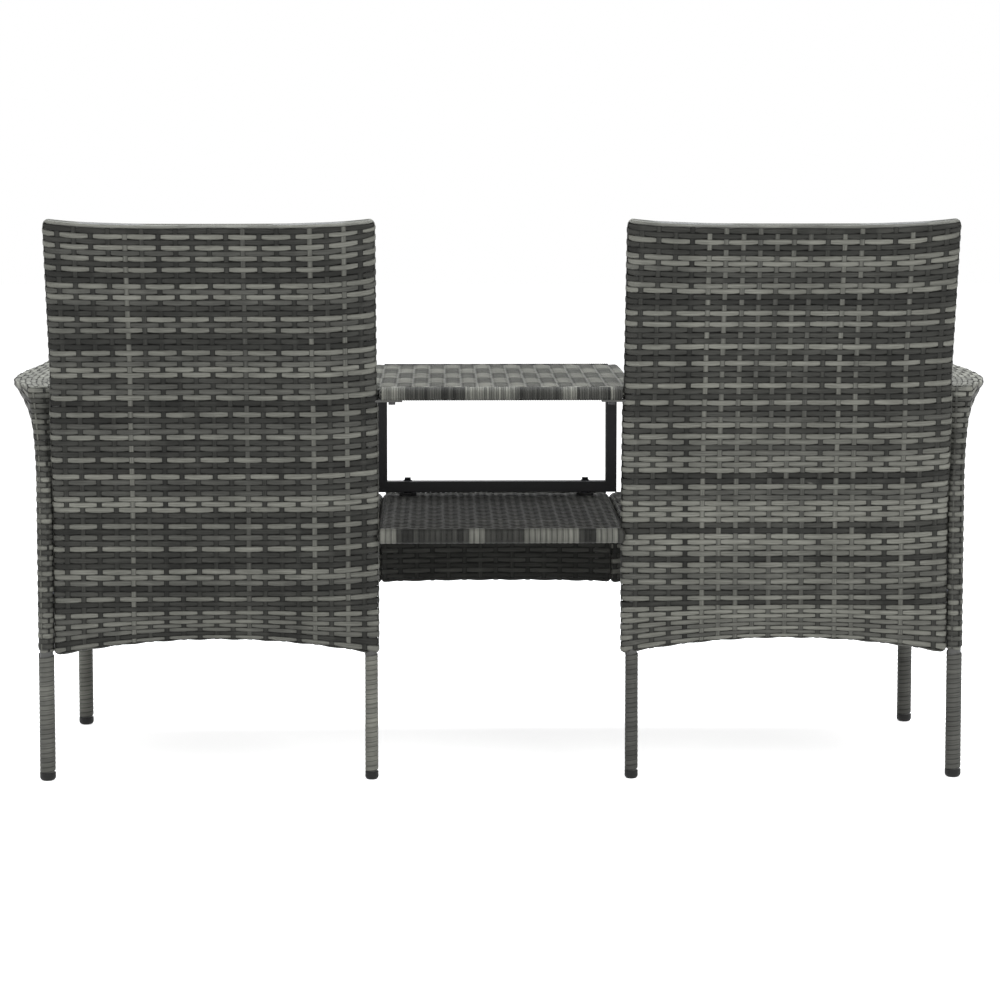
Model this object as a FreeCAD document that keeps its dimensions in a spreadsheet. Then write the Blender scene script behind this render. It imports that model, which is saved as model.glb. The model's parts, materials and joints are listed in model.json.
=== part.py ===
"""Companion seat bench: two woven seats with a tea table between them.

Millimetres, +Z up. The sitters face -Y, X runs across the bench, and the origin is on the floor under its
middle. Left is +X, the sitters' left. The left half is drawn, and the right one is its mirror image.
"""
import FreeCAD
import Part
import Sketcher
import math
import os
import re
from types import SimpleNamespace

from FreeCAD import Vector

# Driving sizes, each written once
SIZES = {
    # Legs and tubes
    "outer_leg_x": 677,       # rear outer leg from the middle of the bench
    "leg_toe_in": 7,          # front outer leg stands this much nearer the middle
    "inner_leg_x": 194,       # rear inner leg from the middle
    "leg_back_y": 180,        # rear legs behind the middle
    "leg_front_y": 255,       # front legs ahead of the middle
    "outer_tube": 20,
    "inner_tube": 16,
    "rail_tube": 14,
    "rod": 10,
    "tube_wall": 1.5,
    "skin": 2.2,              # thickness of the woven skins
    "fit": 0.3,               # gap between a tube and the skin or wrap round it
    "leg_wrap": 1.6,          # thickness of the cane wound round each leg
    # Foot caps
    "cap_height": 12,
    "cap_flat": 7,            # radius of the flat that stands on the floor
    "cap_stem": 20,
    "cap_shoulder": 7,        # height at which the dome meets the straight rim
    # Side frames and arms
    "side_bottom_z": 188,
    "arm_rear_z": 585,
    "arm_front_z": 593,
    "arm_bend": 60,
    "flare_z": 445,           # height at which the side starts to flare outwards
    "arm_edge": 14,           # depth of the arm's rounded edge
    "rod_gap": 3.5,             # more room between the bent rod and the arm's edge than its skin needs
    "rod_bend_rear": 70,
    "rod_bend_wide": 250,
    "rod_bend_front": 22,
    "outset_rear": 24,        # arm edge outside the leg line, at the rear end
    "outset_wide": 64,        # at its widest
    "outset_mid": 63,
    "outset_front": 57,       # at the front end
    # Backs
    "back_height": 840,
    "back_bottom_z": 189,
    "back_arch": 24,
    "back_dip": 7,
    "back_bend_low_z": 410,
    "back_bend_high_z": 620,
    "lean_low": 9.5,          # degrees
    "lean_high": 16,
    "back_bend_radius": 300,
    "panel_corner": 9,
    "panel_round": 4.5,
    "panel_gap": 1,           # between a back and the leg beside it
    # Seats and shelf
    "deck_z": 377,            # top of the woven seats and of the shelf
    "front_y": 287,           # front face of the seats and aprons
    "bay_gap": 3.5,           # between the shelf and the seat beside it
    "seat_rail": 16,          # square tube
    "deck_gap": 1.5,
    "deck_round": 5,
    "shelf_back_y": 200,
    "slat_pitch": 145,
    "seat_slat_y": 55,        # middle of the seat's two slats, ahead of the origin
    # Aprons
    "apron_bottom_z": 226,
    "apron_arch": 14,
    "middle_apron_z": 228,
    "middle_apron_arch": 3,
    # Table
    "table_z": 589,
    "table_lip": 20,          # how far the wide part reaches past the tongue on each side
    "table_front_y": 259,
    "step_gap": 4.3,          # between the wide part's rear edge and the backs
    "tongue_out": 1.4,        # how far the tongue stands out behind the backs
    "table_tube": 13,
    "table_slat_y": 30,       # middle of the top's two slats, ahead of the origin
    "table_corner": 20,
    "ring_bend": 13,          # bend of the ring of tube inside the table top
    "tongue_corner": 8,
    "tongue_gap": 2.5,        # between the tongue and the back beside it
    "tab_length": 40,         # steel tab that each back holds out under the tongue
    "tab_screw": 24,          # its screw from the leg
    "tab_depth": 14,
    # Black table support
    "post": 18,
    "post_inset": 6,          # posts inside the table's sides and front
    "post_round": 1.5,        # rounded edges of the square tube
    "pad_height": 5,
    "support_bolt_inset": 42, # bar's bolts inside the posts
    "flange": 30,             # how far each post's top plate reaches inwards
    "flange_plate": 3,
    # Fasteners
    "bolt": 6,
    "bolt_head": 10,
    "head_height": 4,
    "washer": 14,
    "washer_plate": 1.5,
    "hole_gap": 0.3,
    "bolt_inset": 95,        # seat bolts from the ends of the seat rails
    "bolt_clear": 14,        # between a seat bolt's head and the shelf slat ahead of it
    # Cushions
    "cushion_inner_x": 203,
    "cushion_side": 44,       # side height
    "cushion_crown": 18,
    "cushion_corner": 40,
    "cushion_draw": 7,        # how far each side is drawn in between its corners
    "cushion_gap": 7,         # to the side
    "cushion_rear_gap": 2,    # to the back
    "cushion_front_gap": 4,   # behind the front face of the seat
}

document = FreeCAD.newDocument("CompanionSeatBench")
sheet = document.addObject("Spreadsheet::Sheet", "Sizes")
for row, (alias, number) in enumerate(SIZES.items(), start=1):
    sheet.set(f"A{row}", alias)
    sheet.set(f"B{row}", str(number))
    sheet.setAlias(f"B{row}", alias)
document.recompute()
size = SimpleNamespace(**{alias: float(sheet.get(alias)) for alias in SIZES})

def bound(expression):
    """Return an expression with each size's name pointing at its cell in the sheet."""
    return re.sub(r"[a-z_]+", lambda word: f"Sizes.{word[0]}" if word[0] in SIZES else word[0], expression)


def worth(expression):
    """Value of an expression in the sheet's sizes."""
    return float(sheet.evalExpression(bound(expression)))


# Places bound to the sheet, as expressions in its sizes
COVER = "(skin + fit)"
SEAT_OUTER = f"(outer_leg_x - leg_toe_in - outer_tube / 2 - {COVER} - deck_gap)"
SEAT_BACK = f"(leg_back_y - inner_tube / 2 - {COVER} - deck_gap)"
SHELF_HALF = f"(inner_leg_x - inner_tube / 2 - {COVER} - panel_gap)"
BAY_HALF = f"({SHELF_HALF} + bay_gap)"
DECK_THICK = f"(seat_rail + 2 * {COVER})"
DECK_BOTTOM = f"(deck_z - {DECK_THICK})"
RAIL_Z = (f"(deck_z - {COVER} - seat_rail)", f"(deck_z - {COVER})")
TABLE_THICK = f"(table_tube + 2 * {COVER})"
TABLE_BOTTOM = f"(table_z - {TABLE_THICK})"
TONGUE_HALF = f"(inner_leg_x - inner_tube / 2 - {COVER} - tongue_gap)"
TABLE_HALF = f"({TONGUE_HALF} + table_lip)"
BACK_AT_TABLE = f"(leg_back_y + ({TABLE_BOTTOM} - back_bend_low_z) * tan(lean_low))"
BACK_REACH = f"((inner_tube / 2 + {COVER}) / cos(lean_low))"
TABLE_STEP = f"({BACK_AT_TABLE} - {BACK_REACH} - step_gap)"
TABLE_BACK = f"({BACK_AT_TABLE} + {BACK_REACH} + tongue_out)"
POST_X = f"({TABLE_HALF} - post_inset - post / 2)"
POST_Y = "(table_front_y - post_inset - post / 2)"
SUPPORT_FOOT = "(deck_z + pad_height)"

NODES = []
SIDES = {"left": 1, "right": -1}
ACROSS = Vector(1, 0, 0)
ALONG = Vector(0, 1, 0)
UP = Vector(0, 0, 1)

# Where the side skin's sections stand, as shares of its length from the rear
SIDE_SHARES = (0, 0.3, 0.64, 1)

# Cushion sections as shares of its outline: up the side, with shares of the side's height, then the crown
CUSHION_SIDE = ((0, 0.94), (0.16, 0.984), (0.5, 1), (0.84, 0.988))
CUSHION_CROWN = (0.94, 0.84, 0.7, 0.52, 0.34)
CROWN_POWER = 4

# Places worked out from the driving sizes
outer_radius = size.outer_tube / 2
inner_radius = size.inner_tube / 2
rail_radius = size.rail_tube / 2
rod_radius = size.rod / 2
cover = size.skin + size.fit
outer_cover = outer_radius + cover
panel_half = inner_radius + cover
deck_half = size.seat_rail / 2 + cover
deck_bottom = worth(DECK_BOTTOM)
rail_z = size.deck_z - deck_half
apron_half = rod_radius + cover
table_half_thick = size.table_tube / 2 + cover
back_outer_x = size.outer_leg_x - outer_cover - size.panel_gap
back_inner_x = size.inner_leg_x - panel_half
shelf_half = worth(SHELF_HALF)
leg_front_x = size.outer_leg_x - size.leg_toe_in
seat_outer_x = worth(SEAT_OUTER)
seat_back_y = worth(SEAT_BACK)
bay_half = worth(BAY_HALF)
table_half = worth(TABLE_HALF)
table_bottom = worth(TABLE_BOTTOM)
table_step_y = worth(TABLE_STEP)
tab_y = worth(BACK_AT_TABLE)
post_x = worth(POST_X)
post_y = worth(POST_Y)
support_bolt_x = post_x - size.support_bolt_inset
apron_y = -size.front_y + apron_half
hole_radius = size.bolt / 2 + size.hole_gap


def keep(thing, node):
    """Give an object its node's name, and list it among the sub-parts."""
    thing.Label = node
    NODES.append(thing)
    return thing


def feature(shape, node):
    """Keep a shape made with Part's functions as a sub-part."""
    thing = document.addObject("Part::Feature", node)
    thing.Shape = shape
    thing.Placement = FreeCAD.Placement()
    return keep(thing, node)


def mirrored(source, node):
    """Keep the mirror image of a left sub-part as its right one."""
    thing = document.addObject("Part::Mirroring", node)
    thing.Source = source
    thing.Normal = ACROSS
    return keep(thing, node)


def pair(shape, name):
    """Keep a left shape and its mirror image on the right."""
    left = feature(shape, f"{name}_left")
    return left, mirrored(left, f"{name}_right")


def unit(vector):
    return Vector(vector).normalize()


def bent_path(corners, radii):
    """Straight runs between the corners, each corner rounded by a tangent arc of its radius."""
    edges = []
    start = corners[0]
    for before, corner, after, radius in zip(corners, corners[1:], corners[2:], radii):
        back = unit(before - corner)
        ahead = unit(after - corner)
        half_angle = back.getAngle(ahead) / 2
        reach = radius / math.tan(half_angle)
        inward = unit(back + ahead)
        middle = corner + inward * (radius / math.sin(half_angle) - radius)
        edges.append(Part.LineSegment(start, corner + back * reach).toShape())
        edges.append(Part.Arc(corner + back * reach, middle, corner + ahead * reach).toShape())
        start = corner + ahead * reach
    edges.append(Part.LineSegment(start, corners[-1]).toShape())
    return Part.Wire(edges)


def swept(path, radius):
    """A round bar of this radius along a path."""
    first = path.Edges[0]
    start = first.valueAt(first.FirstParameter)
    ring = Part.Wire(Part.makeCircle(radius, start, first.tangentAt(first.FirstParameter)))
    return path.makePipeShell([ring], True, False)


def straight(start, end, radius):
    """A round bar between two points."""
    run = end - start
    return Part.makeCylinder(radius, run.Length, start, run)


def welded(paths):
    """Tubes welded into one frame: their outsides joined, then their bores taken out."""
    outside = [swept(path, radius) for path, radius in paths]
    bores = [swept(path, radius - size.tube_wall) for path, radius in paths]
    return outside[0].multiFuse(outside[1:]).removeSplitter().cut(bores)


def line_path(*points):
    return Part.Wire([Part.LineSegment(a, b).toShape() for a, b in zip(points, points[1:])])


def hem_height(x, span, end_z, rise, lift):
    """Height at x of a shallow arc that rises (or dips) over a span, moved inwards by lift.

    No rise at all means a straight top edge, whose inside is below it.
    """
    if rise == 0:
        return end_z - lift
    start, stop = span
    half = (stop - start) / 2
    across = x - (start + stop) / 2
    radius = (half * half + rise * rise) / (2 * abs(rise))
    reach = math.sqrt((radius + lift) ** 2 - across ** 2)
    if rise > 0:
        return end_z + rise - radius + reach
    return end_z + rise + radius - reach


def hem_arc(ends, span, end_z, rise, lift, y):
    """The arc itself between two values of x, at depth y."""
    xs = (ends[0], sum(ends) / 2, ends[1])
    points = [Vector(x, y, hem_height(x, span, end_z, rise, lift)) for x in xs]
    if rise == 0:
        return Part.LineSegment(points[0], points[2]).toShape()
    return Part.Arc(*points).toShape()


def panel_prism(span, bottom, top, inset, depth):
    """Panel outline with an arched hem and a dipped top, extruded between two depths."""
    bottom_z, arch = bottom
    top_z, dip = top
    ends = (span[0] + inset, span[1] - inset)
    hem = hem_arc(ends, span, bottom_z, arch, inset, depth[0])
    crown = hem_arc(ends, span, top_z, dip, inset, depth[0])
    sides = [line_path(a.Point, b.Point) for a, b in zip(hem.Vertexes, crown.Vertexes)]
    outline = Part.Wire(Part.__sortEdges__([hem, crown, sides[0].Edges[0], sides[1].Edges[0]]))
    return Part.Face(outline).extrude(ALONG * (depth[1] - depth[0]))


def round_edges(shape, radius, chosen):
    return shape.makeFillet(radius, [edge for edge in shape.Edges if chosen(edge)])


def runs_along(edge, direction):
    """True for a straight edge parallel to a direction."""
    if not isinstance(edge.Curve, Part.Line):
        return False
    return abs(abs(edge.Curve.Direction.dot(direction)) - 1) < 1e-6


def leg_x(y):
    """Centre of the outer legs' line at depth y, which toes in towards the front."""
    return size.outer_leg_x - size.leg_toe_in * (size.leg_back_y - y) / (size.leg_back_y + size.leg_front_y)


def arm_z(y):
    """Top of the arm at depth y."""
    rise = size.arm_front_z - size.arm_rear_z
    return size.arm_rear_z + rise * (size.leg_back_y - y) / (size.leg_back_y + size.leg_front_y)


# Side profile of the backs
def back_points(offset):
    """Corners of the back's side profile, moved by offset towards the rear."""
    low = math.radians(size.lean_low)
    high = math.radians(size.lean_high)
    low_rise = size.back_bend_high_z - size.back_bend_low_z
    high_rise = size.back_height + 2 * panel_half - size.back_bend_high_z
    bend_y = size.leg_back_y + low_rise * math.tan(low)
    top_y = bend_y + high_rise * math.tan(high)
    mitre_low = Vector(0, 1, -math.tan(low / 2)) * offset
    mean = (low + high) / 2
    square = Vector(0, math.cos(high), -math.sin(high))
    mitre_high = Vector(0, math.cos(mean), -math.sin(mean)) * (offset / math.cos((high - low) / 2))
    return [
        Vector(0, size.leg_back_y + offset, size.cap_height),
        Vector(0, size.leg_back_y, size.back_bend_low_z) + mitre_low,
        Vector(0, bend_y, size.back_bend_high_z) + mitre_high,
        Vector(0, top_y, size.back_height + 2 * panel_half) + square * offset,
    ]


def back_path(x, offset, top_z):
    """The back's side profile at x, cut off at a height."""
    corners = [point + ACROSS * x for point in back_points(offset)]
    last = corners[2] + (corners[3] - corners[2]) * ((top_z - corners[2].z) / (corners[3].z - corners[2].z))
    radius = size.back_bend_radius + offset
    return bent_path([corners[0], corners[1], corners[2], last], [radius, radius])


def back_y(z):
    """Depth of the back's middle at a height above its upper bend or on its vertical run."""
    points = back_points(0)
    if z < size.back_bend_low_z:
        return size.leg_back_y
    start, end = (points[2], points[3]) if z > size.back_bend_high_z else (points[1], points[2])
    return start.y + (end.y - start.y) * (z - start.z) / (end.z - start.z)


# Fasteners: each bolt starts under its head and runs along its direction
def bolt_shape(start, direction, length):
    """A hexagon bolt whose head seats at start."""
    run = unit(direction)
    shank = Part.makeCylinder(size.bolt / 2, length, start, run)
    turns = [math.radians(60 * corner) for corner in range(7)]
    side = unit(run.cross(UP if abs(run.z) < 0.5 else ACROSS))
    other = run.cross(side)
    across_corners = size.bolt_head / 2 / math.cos(math.radians(30))
    rim = [start + (side * math.cos(turn) + other * math.sin(turn)) * across_corners for turn in turns]
    head = Part.Face(Part.makePolygon(rim)).extrude(run * -size.head_height)
    return shank.fuse(head)


def holes(bolts):
    """Clearance holes round a row of bolts."""
    return [Part.makeCylinder(hole_radius, length, start, unit(way)) for start, way, length in bolts]


side_rail_inner_x = seat_outer_x - cover - size.seat_rail
seat_rear_rail_y = seat_back_y - cover - size.seat_rail / 2
shelf_rail_x = shelf_half - cover - size.seat_rail / 2
seat_inner_rail_x = bay_half + cover + size.seat_rail / 2
bolt_depths = (seat_back_y - size.bolt_inset, -size.front_y + size.bolt_inset)
seat_middle_x = (bay_half + seat_outer_x) / 2
back_bolt_xs = (seat_middle_x - size.slat_pitch, seat_middle_x + size.slat_pitch)
back_side_z = (size.side_bottom_z + size.deck_z) / 2

side_bolts = [
    (Vector(side_rail_inner_x, y, rail_z), ACROSS, leg_x(y) - side_rail_inner_x) for y in bolt_depths
]
rear_bolts = [
    (Vector(x, seat_rear_rail_y - size.seat_rail / 2, rail_z), ALONG,
     size.leg_back_y - seat_rear_rail_y + size.seat_rail / 2)
    for x in back_bolt_xs
]
shelf_bolts = [
    (Vector(shelf_rail_x - size.seat_rail / 2, y, rail_z), ACROSS,
     seat_inner_rail_x - shelf_rail_x + size.seat_rail / 2)
    for y in bolt_depths
]
back_bolt_x = back_outer_x - panel_half - inner_radius
leg_bolts = [
    (Vector(back_bolt_x, size.leg_back_y, back_side_z), ACROSS, size.outer_leg_x - back_bolt_x)
]
support_top = worth(f"{SUPPORT_FOOT} + post")
support_bolts = [
    (Vector(support_bolt_x, -post_y, support_top + size.washer_plate), -UP,
     support_top + size.washer_plate - rail_z)
]


ring_y = -size.table_front_y + table_half_thick
table_mid_z = size.table_z - table_half_thick
screw_xs = (size.inner_leg_x - inner_radius - size.tab_screw, post_x - size.post / 2 - size.flange / 2)
table_screws = [
    (Vector(screw_xs[0], tab_y, table_bottom - size.flange_plate), UP, table_mid_z - table_bottom),
    (Vector(screw_xs[1], (ring_y - post_y) / 2, table_bottom - size.flange_plate), UP,
     table_mid_z - table_bottom),
]


# Side frames
def side_hoop():
    """Path of the tube that makes the rear leg, the arm and the front leg."""
    rear = (size.outer_leg_x, size.leg_back_y)
    front = (leg_front_x, -size.leg_front_y)
    rear_z = size.arm_rear_z - cover - outer_radius
    front_z = size.arm_front_z - cover - outer_radius
    foot_z = size.cap_height
    corners = [Vector(*rear, foot_z), Vector(*rear, rear_z), Vector(*front, front_z), Vector(*front, foot_z)]
    return bent_path(corners, [size.arm_bend, size.arm_bend])


def side_frame():
    """Rear leg, arm and front leg in one bent tube, with two straight rails welded between the legs."""
    rear = (size.outer_leg_x, size.leg_back_y)
    front = (leg_front_x, -size.leg_front_y)
    low_z = size.side_bottom_z + cover + rail_radius
    rails = [line_path(Vector(*rear, z), Vector(*front, z)) for z in (low_z, rail_z)]
    frame = welded([(side_hoop(), outer_radius)] + [(rail, rail_radius) for rail in rails])
    return frame.cut(holes(side_bolts + leg_bolts))


def side_stations(inset):
    """Depths of the side skin's sections, with the arm's reach past the legs at each."""
    rear = size.leg_back_y + outer_cover - inset
    front = -size.leg_front_y - outer_cover + inset
    length = rear - front
    outsets = (size.outset_rear, size.outset_wide, size.outset_mid, size.outset_front)
    return [(rear - length * part, outset) for part, outset in zip(SIDE_SHARES, outsets)]


def side_section(y, outset, inset):
    """Section of the flared side: plain below, curving out to a flat arm with a rounded edge."""
    inner = leg_x(y) - outer_cover + inset
    outer = leg_x(y) + outer_cover - inset
    reach = leg_x(y) + outset - inset
    top = arm_z(y) - inset
    bottom = size.side_bottom_z + inset
    edge = size.arm_edge - inset
    out = reach - outer
    rise = top - edge - size.flare_z
    radius = (out * out + rise * rise) / (2 * out)
    half_turn = math.asin(rise / radius) / 2
    bulge = Vector(outer + radius * (1 - math.cos(half_turn)), y, size.flare_z + radius * math.sin(half_turn))
    flare_start = Vector(outer, y, size.flare_z)
    edge_start = Vector(reach, y, top - edge)
    edge_middle = Vector(reach - edge * (1 - math.sqrt(0.5)), y, top - edge * (1 - math.sqrt(0.5)))
    edge_end = Vector(reach - edge, y, top)
    foot = [Vector(inner, y, bottom), Vector(outer, y, bottom)]
    corners = [edge_end, Vector(inner, y, top)] + foot + [flare_start]
    edges = [
        Part.Arc(flare_start, bulge, edge_start).toShape(),
        Part.Arc(edge_start, edge_middle, edge_end).toShape(),
    ]
    edges += line_path(*corners).Edges
    return Part.Wire(edges)


def side_loft(inset):
    sections = [side_section(y, outset, inset) for y, outset in side_stations(inset)]
    return Part.makeLoft(sections, True, False)


def side_skin():
    """Woven skin over the side frame: hollow, with a hole in its bottom for each leg."""
    skin = side_loft(0).cut(side_loft(size.skin))
    wall = size.skin * 2
    ends = [(size.outer_leg_x, size.leg_back_y), (leg_front_x, -size.leg_front_y)]
    legs = [
        Part.makeCylinder(outer_radius + size.fit, wall, Vector(x, y, size.side_bottom_z - size.skin))
        for x, y in ends
    ]
    return skin.cut(legs + holes(side_bolts + leg_bolts))


def arm_rod():
    """Bent rod that holds the arm's flared edge out, welded to the arm tube at both ends."""
    drop = cover + rod_radius
    stations = side_stations(drop)
    lean = size.rod_gap

    def edge_point(index):
        y, outset = stations[index]
        return Vector(leg_x(y) + outset - drop - lean, y, arm_z(y) - drop - lean)

    def root(y):
        return Vector(leg_x(y), y, arm_z(y) - cover - outer_radius)

    root_inset = size.arm_bend + size.rod + lean
    roots = (root(size.leg_back_y - root_inset), root(-size.leg_front_y + root_inset))
    corners = [roots[0], edge_point(1), edge_point(2), edge_point(3), roots[1]]
    bends = [size.rod_bend_rear, size.rod_bend_wide, size.rod_bend_front]
    return swept(bent_path(corners, bends), rod_radius).cut(swept(side_hoop(), outer_radius))


# Backs
def back_slab(inset):
    """The panel's curved thickness inside its arched and dipped outline."""
    half = panel_half - inset
    tall = size.back_height + panel_half
    rear = back_path(0, half, tall)
    front = back_path(0, -half, tall)
    ends = [line_path(a.Point, b.Point) for a, b in zip(rear.Vertexes[::5], front.Vertexes[::5])]
    edges = rear.Edges + front.Edges + [end.Edges[0] for end in ends]
    profile = Part.Face(Part.Wire(Part.__sortEdges__(edges)))
    profile.translate(ACROSS * (back_inner_x - 1))
    slab = profile.extrude(ACROSS * (back_outer_x - back_inner_x + 2))
    span = (back_inner_x, back_outer_x)
    bottom = (size.back_bottom_z, size.back_arch)
    top = (size.back_height, -size.back_dip)
    prism = panel_prism(span, bottom, top, inset, (0, 2 * size.leg_back_y + size.back_height / 4))
    prism = round_edges(prism, size.panel_corner - inset, lambda edge: runs_along(edge, ALONG))
    return slab.common(prism)


def tab_box(gap):
    """Steel tab under the table's tongue, grown by a gap."""
    root_x = size.inner_leg_x - inner_radius + size.tube_wall / 2
    corner = Vector(root_x - size.tab_length - gap, back_y(table_bottom) - size.tab_depth / 2 - gap,
                    table_bottom - size.flange_plate - gap)
    sides = [length + 2 * gap for length in (size.tab_length, size.tab_depth, size.flange_plate)]
    return Part.makeBox(*sides, corner)


def back_skin():
    """Woven skin over both faces of a back, open where the inner leg leaves it."""
    solid = round_edges(back_slab(0), size.panel_round, lambda edge: not runs_along(edge, ALONG)
                        and edge.Length > size.panel_corner)
    leg = straight(Vector(size.inner_leg_x, size.leg_back_y, 0),
                   Vector(size.inner_leg_x, size.leg_back_y, size.back_bottom_z + size.back_arch),
                   inner_radius + size.fit)
    return solid.cut([back_slab(size.skin), leg, tab_box(size.fit)] + holes(rear_bolts + leg_bolts))


def back_frame():
    """Inner leg and side tubes with a top rail, a seat rail and an arched bottom rail between them."""
    span = (back_inner_x, back_outer_x)
    side_xs = (back_inner_x + panel_half, back_outer_x - panel_half)
    tube_top = size.back_height - size.panel_corner
    inner_side = back_path(side_xs[0], 0, tube_top)
    outer_side = back_path(side_xs[1], 0, tube_top)
    lift = cover + rail_radius
    hem = Part.Wire(hem_arc(side_xs, span, size.back_bottom_z, size.back_arch, lift, size.leg_back_y))
    flat_crown = hem_arc(side_xs, span, size.back_height, -size.back_dip, lift, 0)
    crown_points = [flat_crown.valueAt(at) for at in flat_crown.ParameterRange]
    crown_points.insert(1, flat_crown.valueAt(sum(flat_crown.ParameterRange) / 2))
    leaning = [Vector(point.x, back_y(point.z), point.z) for point in crown_points]
    crown = Part.Wire(Part.Arc(*leaning).toShape())
    seat_rail = line_path(*[Vector(x, size.leg_back_y, rail_z) for x in side_xs])
    tubes = [(inner_side, inner_radius), (outer_side, inner_radius), (hem, rail_radius),
             (crown, rail_radius), (seat_rail, rail_radius)]
    frame = welded(tubes)
    below = Part.makeBox(size.inner_tube * 2, size.inner_tube * 2, size.back_bottom_z + size.panel_corner,
                         Vector(side_xs[1] - size.inner_tube, size.leg_back_y - size.inner_tube, 0))
    tab = tab_box(0).cut(swept(inner_side, inner_radius - size.tube_wall / 2))
    return frame.cut(below).fuse(tab).cut(holes(rear_bolts + leg_bolts + table_screws[:1]))


# Seats, shelf and aprons
def body(node):
    return document.addObject("PartDesign::Body", node)


def sketch_on(holder, role, name):
    """An empty sketch on one of a body's own planes."""
    sketch = holder.newObject("Sketcher::SketchObject", name)
    plane = next(item for item in holder.Origin.OriginFeatures if item.Role == role)
    sketch.AttachmentSupport = [(plane, "")]
    sketch.MapMode = "FlatFace"
    return sketch


def drive(thing, **expressions):
    """Bind an object's properties to expressions in the sheet's sizes."""
    for name, expression in expressions.items():
        thing.setExpression(name.replace("_", "."), bound(expression))


def place(thing, x, y, z):
    """Bind an object's position."""
    drive(thing, Placement_Base_x=x, Placement_Base_y=y, Placement_Base_z=z)


def outline(sketch, corners, bulges=None):
    """Closed outline in a sketch, each corner bound to a pair of expressions.

    The side that leaves a corner is an arc where bulges gives a point for the corner's number.
    """
    points = [Vector(worth(across), worth(up), 0) for across, up in corners]
    count = len(points)
    bulges = bulges or {}
    for index, point in enumerate(points):
        end = points[(index + 1) % count]
        if index in bulges:
            sketch.addGeometry(Part.Arc(point, bulges[index], end))
        else:
            sketch.addGeometry(Part.LineSegment(point, end))
    for index in range(count):
        sketch.addConstraint(Sketcher.Constraint("Coincident", index, 2, (index + 1) % count, 1))
    for index, (across, up) in enumerate(corners):
        for kind, expression in (("DistanceX", across), ("DistanceY", up)):
            number = sketch.addConstraint(Sketcher.Constraint(kind, -1, 1, index, 1, worth(expression)))
            sketch.setExpression(f"Constraints[{number}]", bound(expression))


def edge_names(shape, chosen):
    return [f"Edge{number}" for number, edge in enumerate(shape.Edges, start=1) if chosen(edge)]


def rounded(holder, base, name, radius, chosen):
    """Fillet the chosen edges of a body's last feature."""
    fillet = holder.newObject("PartDesign::Fillet", name)
    fillet.Base = (base, edge_names(base.Shape, chosen))
    fillet.setExpression("Radius", bound(radius))
    document.recompute()
    return fillet


def block(node, corners, thick, roundings, place_z):
    """A padded outline with rounded edges, at a height."""
    holder = body(node)
    sketch = sketch_on(holder, "XY_Plane", f"{node}_outline")
    outline(sketch, corners)
    pad = holder.newObject("PartDesign::Pad", f"{node}_pad")
    pad.Profile = sketch
    pad.setExpression("Length", bound(thick))
    document.recompute()
    last = pad
    for index, (radius, chosen) in enumerate(roundings):
        last = rounded(holder, last, f"{node}_round_{index}", radius, chosen)
    place(holder, "0", "0", place_z)
    return holder, last


def tray(node, corners, thick, roundings, place_z):
    """Woven skin over a flat frame: a rounded block, hollow and open underneath."""
    holder, solid = block(node, corners, thick, roundings, place_z)
    shell = holder.newObject("PartDesign::Thickness", f"{node}_shell")
    lowest = solid.Shape.BoundBox.ZMin
    underside = [number for number, face in enumerate(solid.Shape.Faces, start=1)
                 if face.BoundBox.ZMax - lowest < size.skin]
    shell.Base = (solid, [f"Face{number}" for number in underside])
    shell.Reversed = True
    shell.setExpression("Value", bound("skin"))
    document.recompute()
    return holder


def drilled(source, tools, node):
    """Keep a shape with the fasteners' holes cut in it."""
    tool = document.addObject("Part::Feature", f"{node}_holes")
    tool.Shape = Part.makeCompound(tools)
    return joined("Part::Cut", node, source, tool)


def box_between(name, x, y, z):
    """A box between bound limits, each given as a pair of expressions."""
    box = document.addObject("Part::Box", name)
    for axis, side, (low, high) in (("x", "Length", x), ("y", "Width", y), ("z", "Height", z)):
        box.setExpression(side, bound(f"{high} - ({low})"))
        box.setExpression(f"Placement.Base.{axis}", bound(low))
    return box


def fused(name, boxes):
    fusion = document.addObject("Part::MultiFuse", name)
    fusion.Shapes = boxes
    return fusion


def square_tubes(node, bars):
    """Outsides and bores of square tubes, each bar given by its limits in x, y and z."""
    outside = []
    bores = []
    for index, limits in enumerate(bars):
        outside.append(box_between(f"{node}_bar_{index}", *limits))
        shrunk = [(f"{low} + tube_wall", f"{high} - tube_wall") for low, high in limits]
        bores.append(box_between(f"{node}_bore_{index}", *shrunk))
    return fused(f"{node}_outside", outside), fused(f"{node}_inside", bores)


def joined(kind, name, base, tool):
    """A boolean of two objects."""
    result = document.addObject(kind, name)
    result.Base = base
    result.Tool = tool
    return result


def rectangle(x, y):
    return [(x[0], y[0]), (x[1], y[0]), (x[1], y[1]), (x[0], y[1])]


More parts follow.
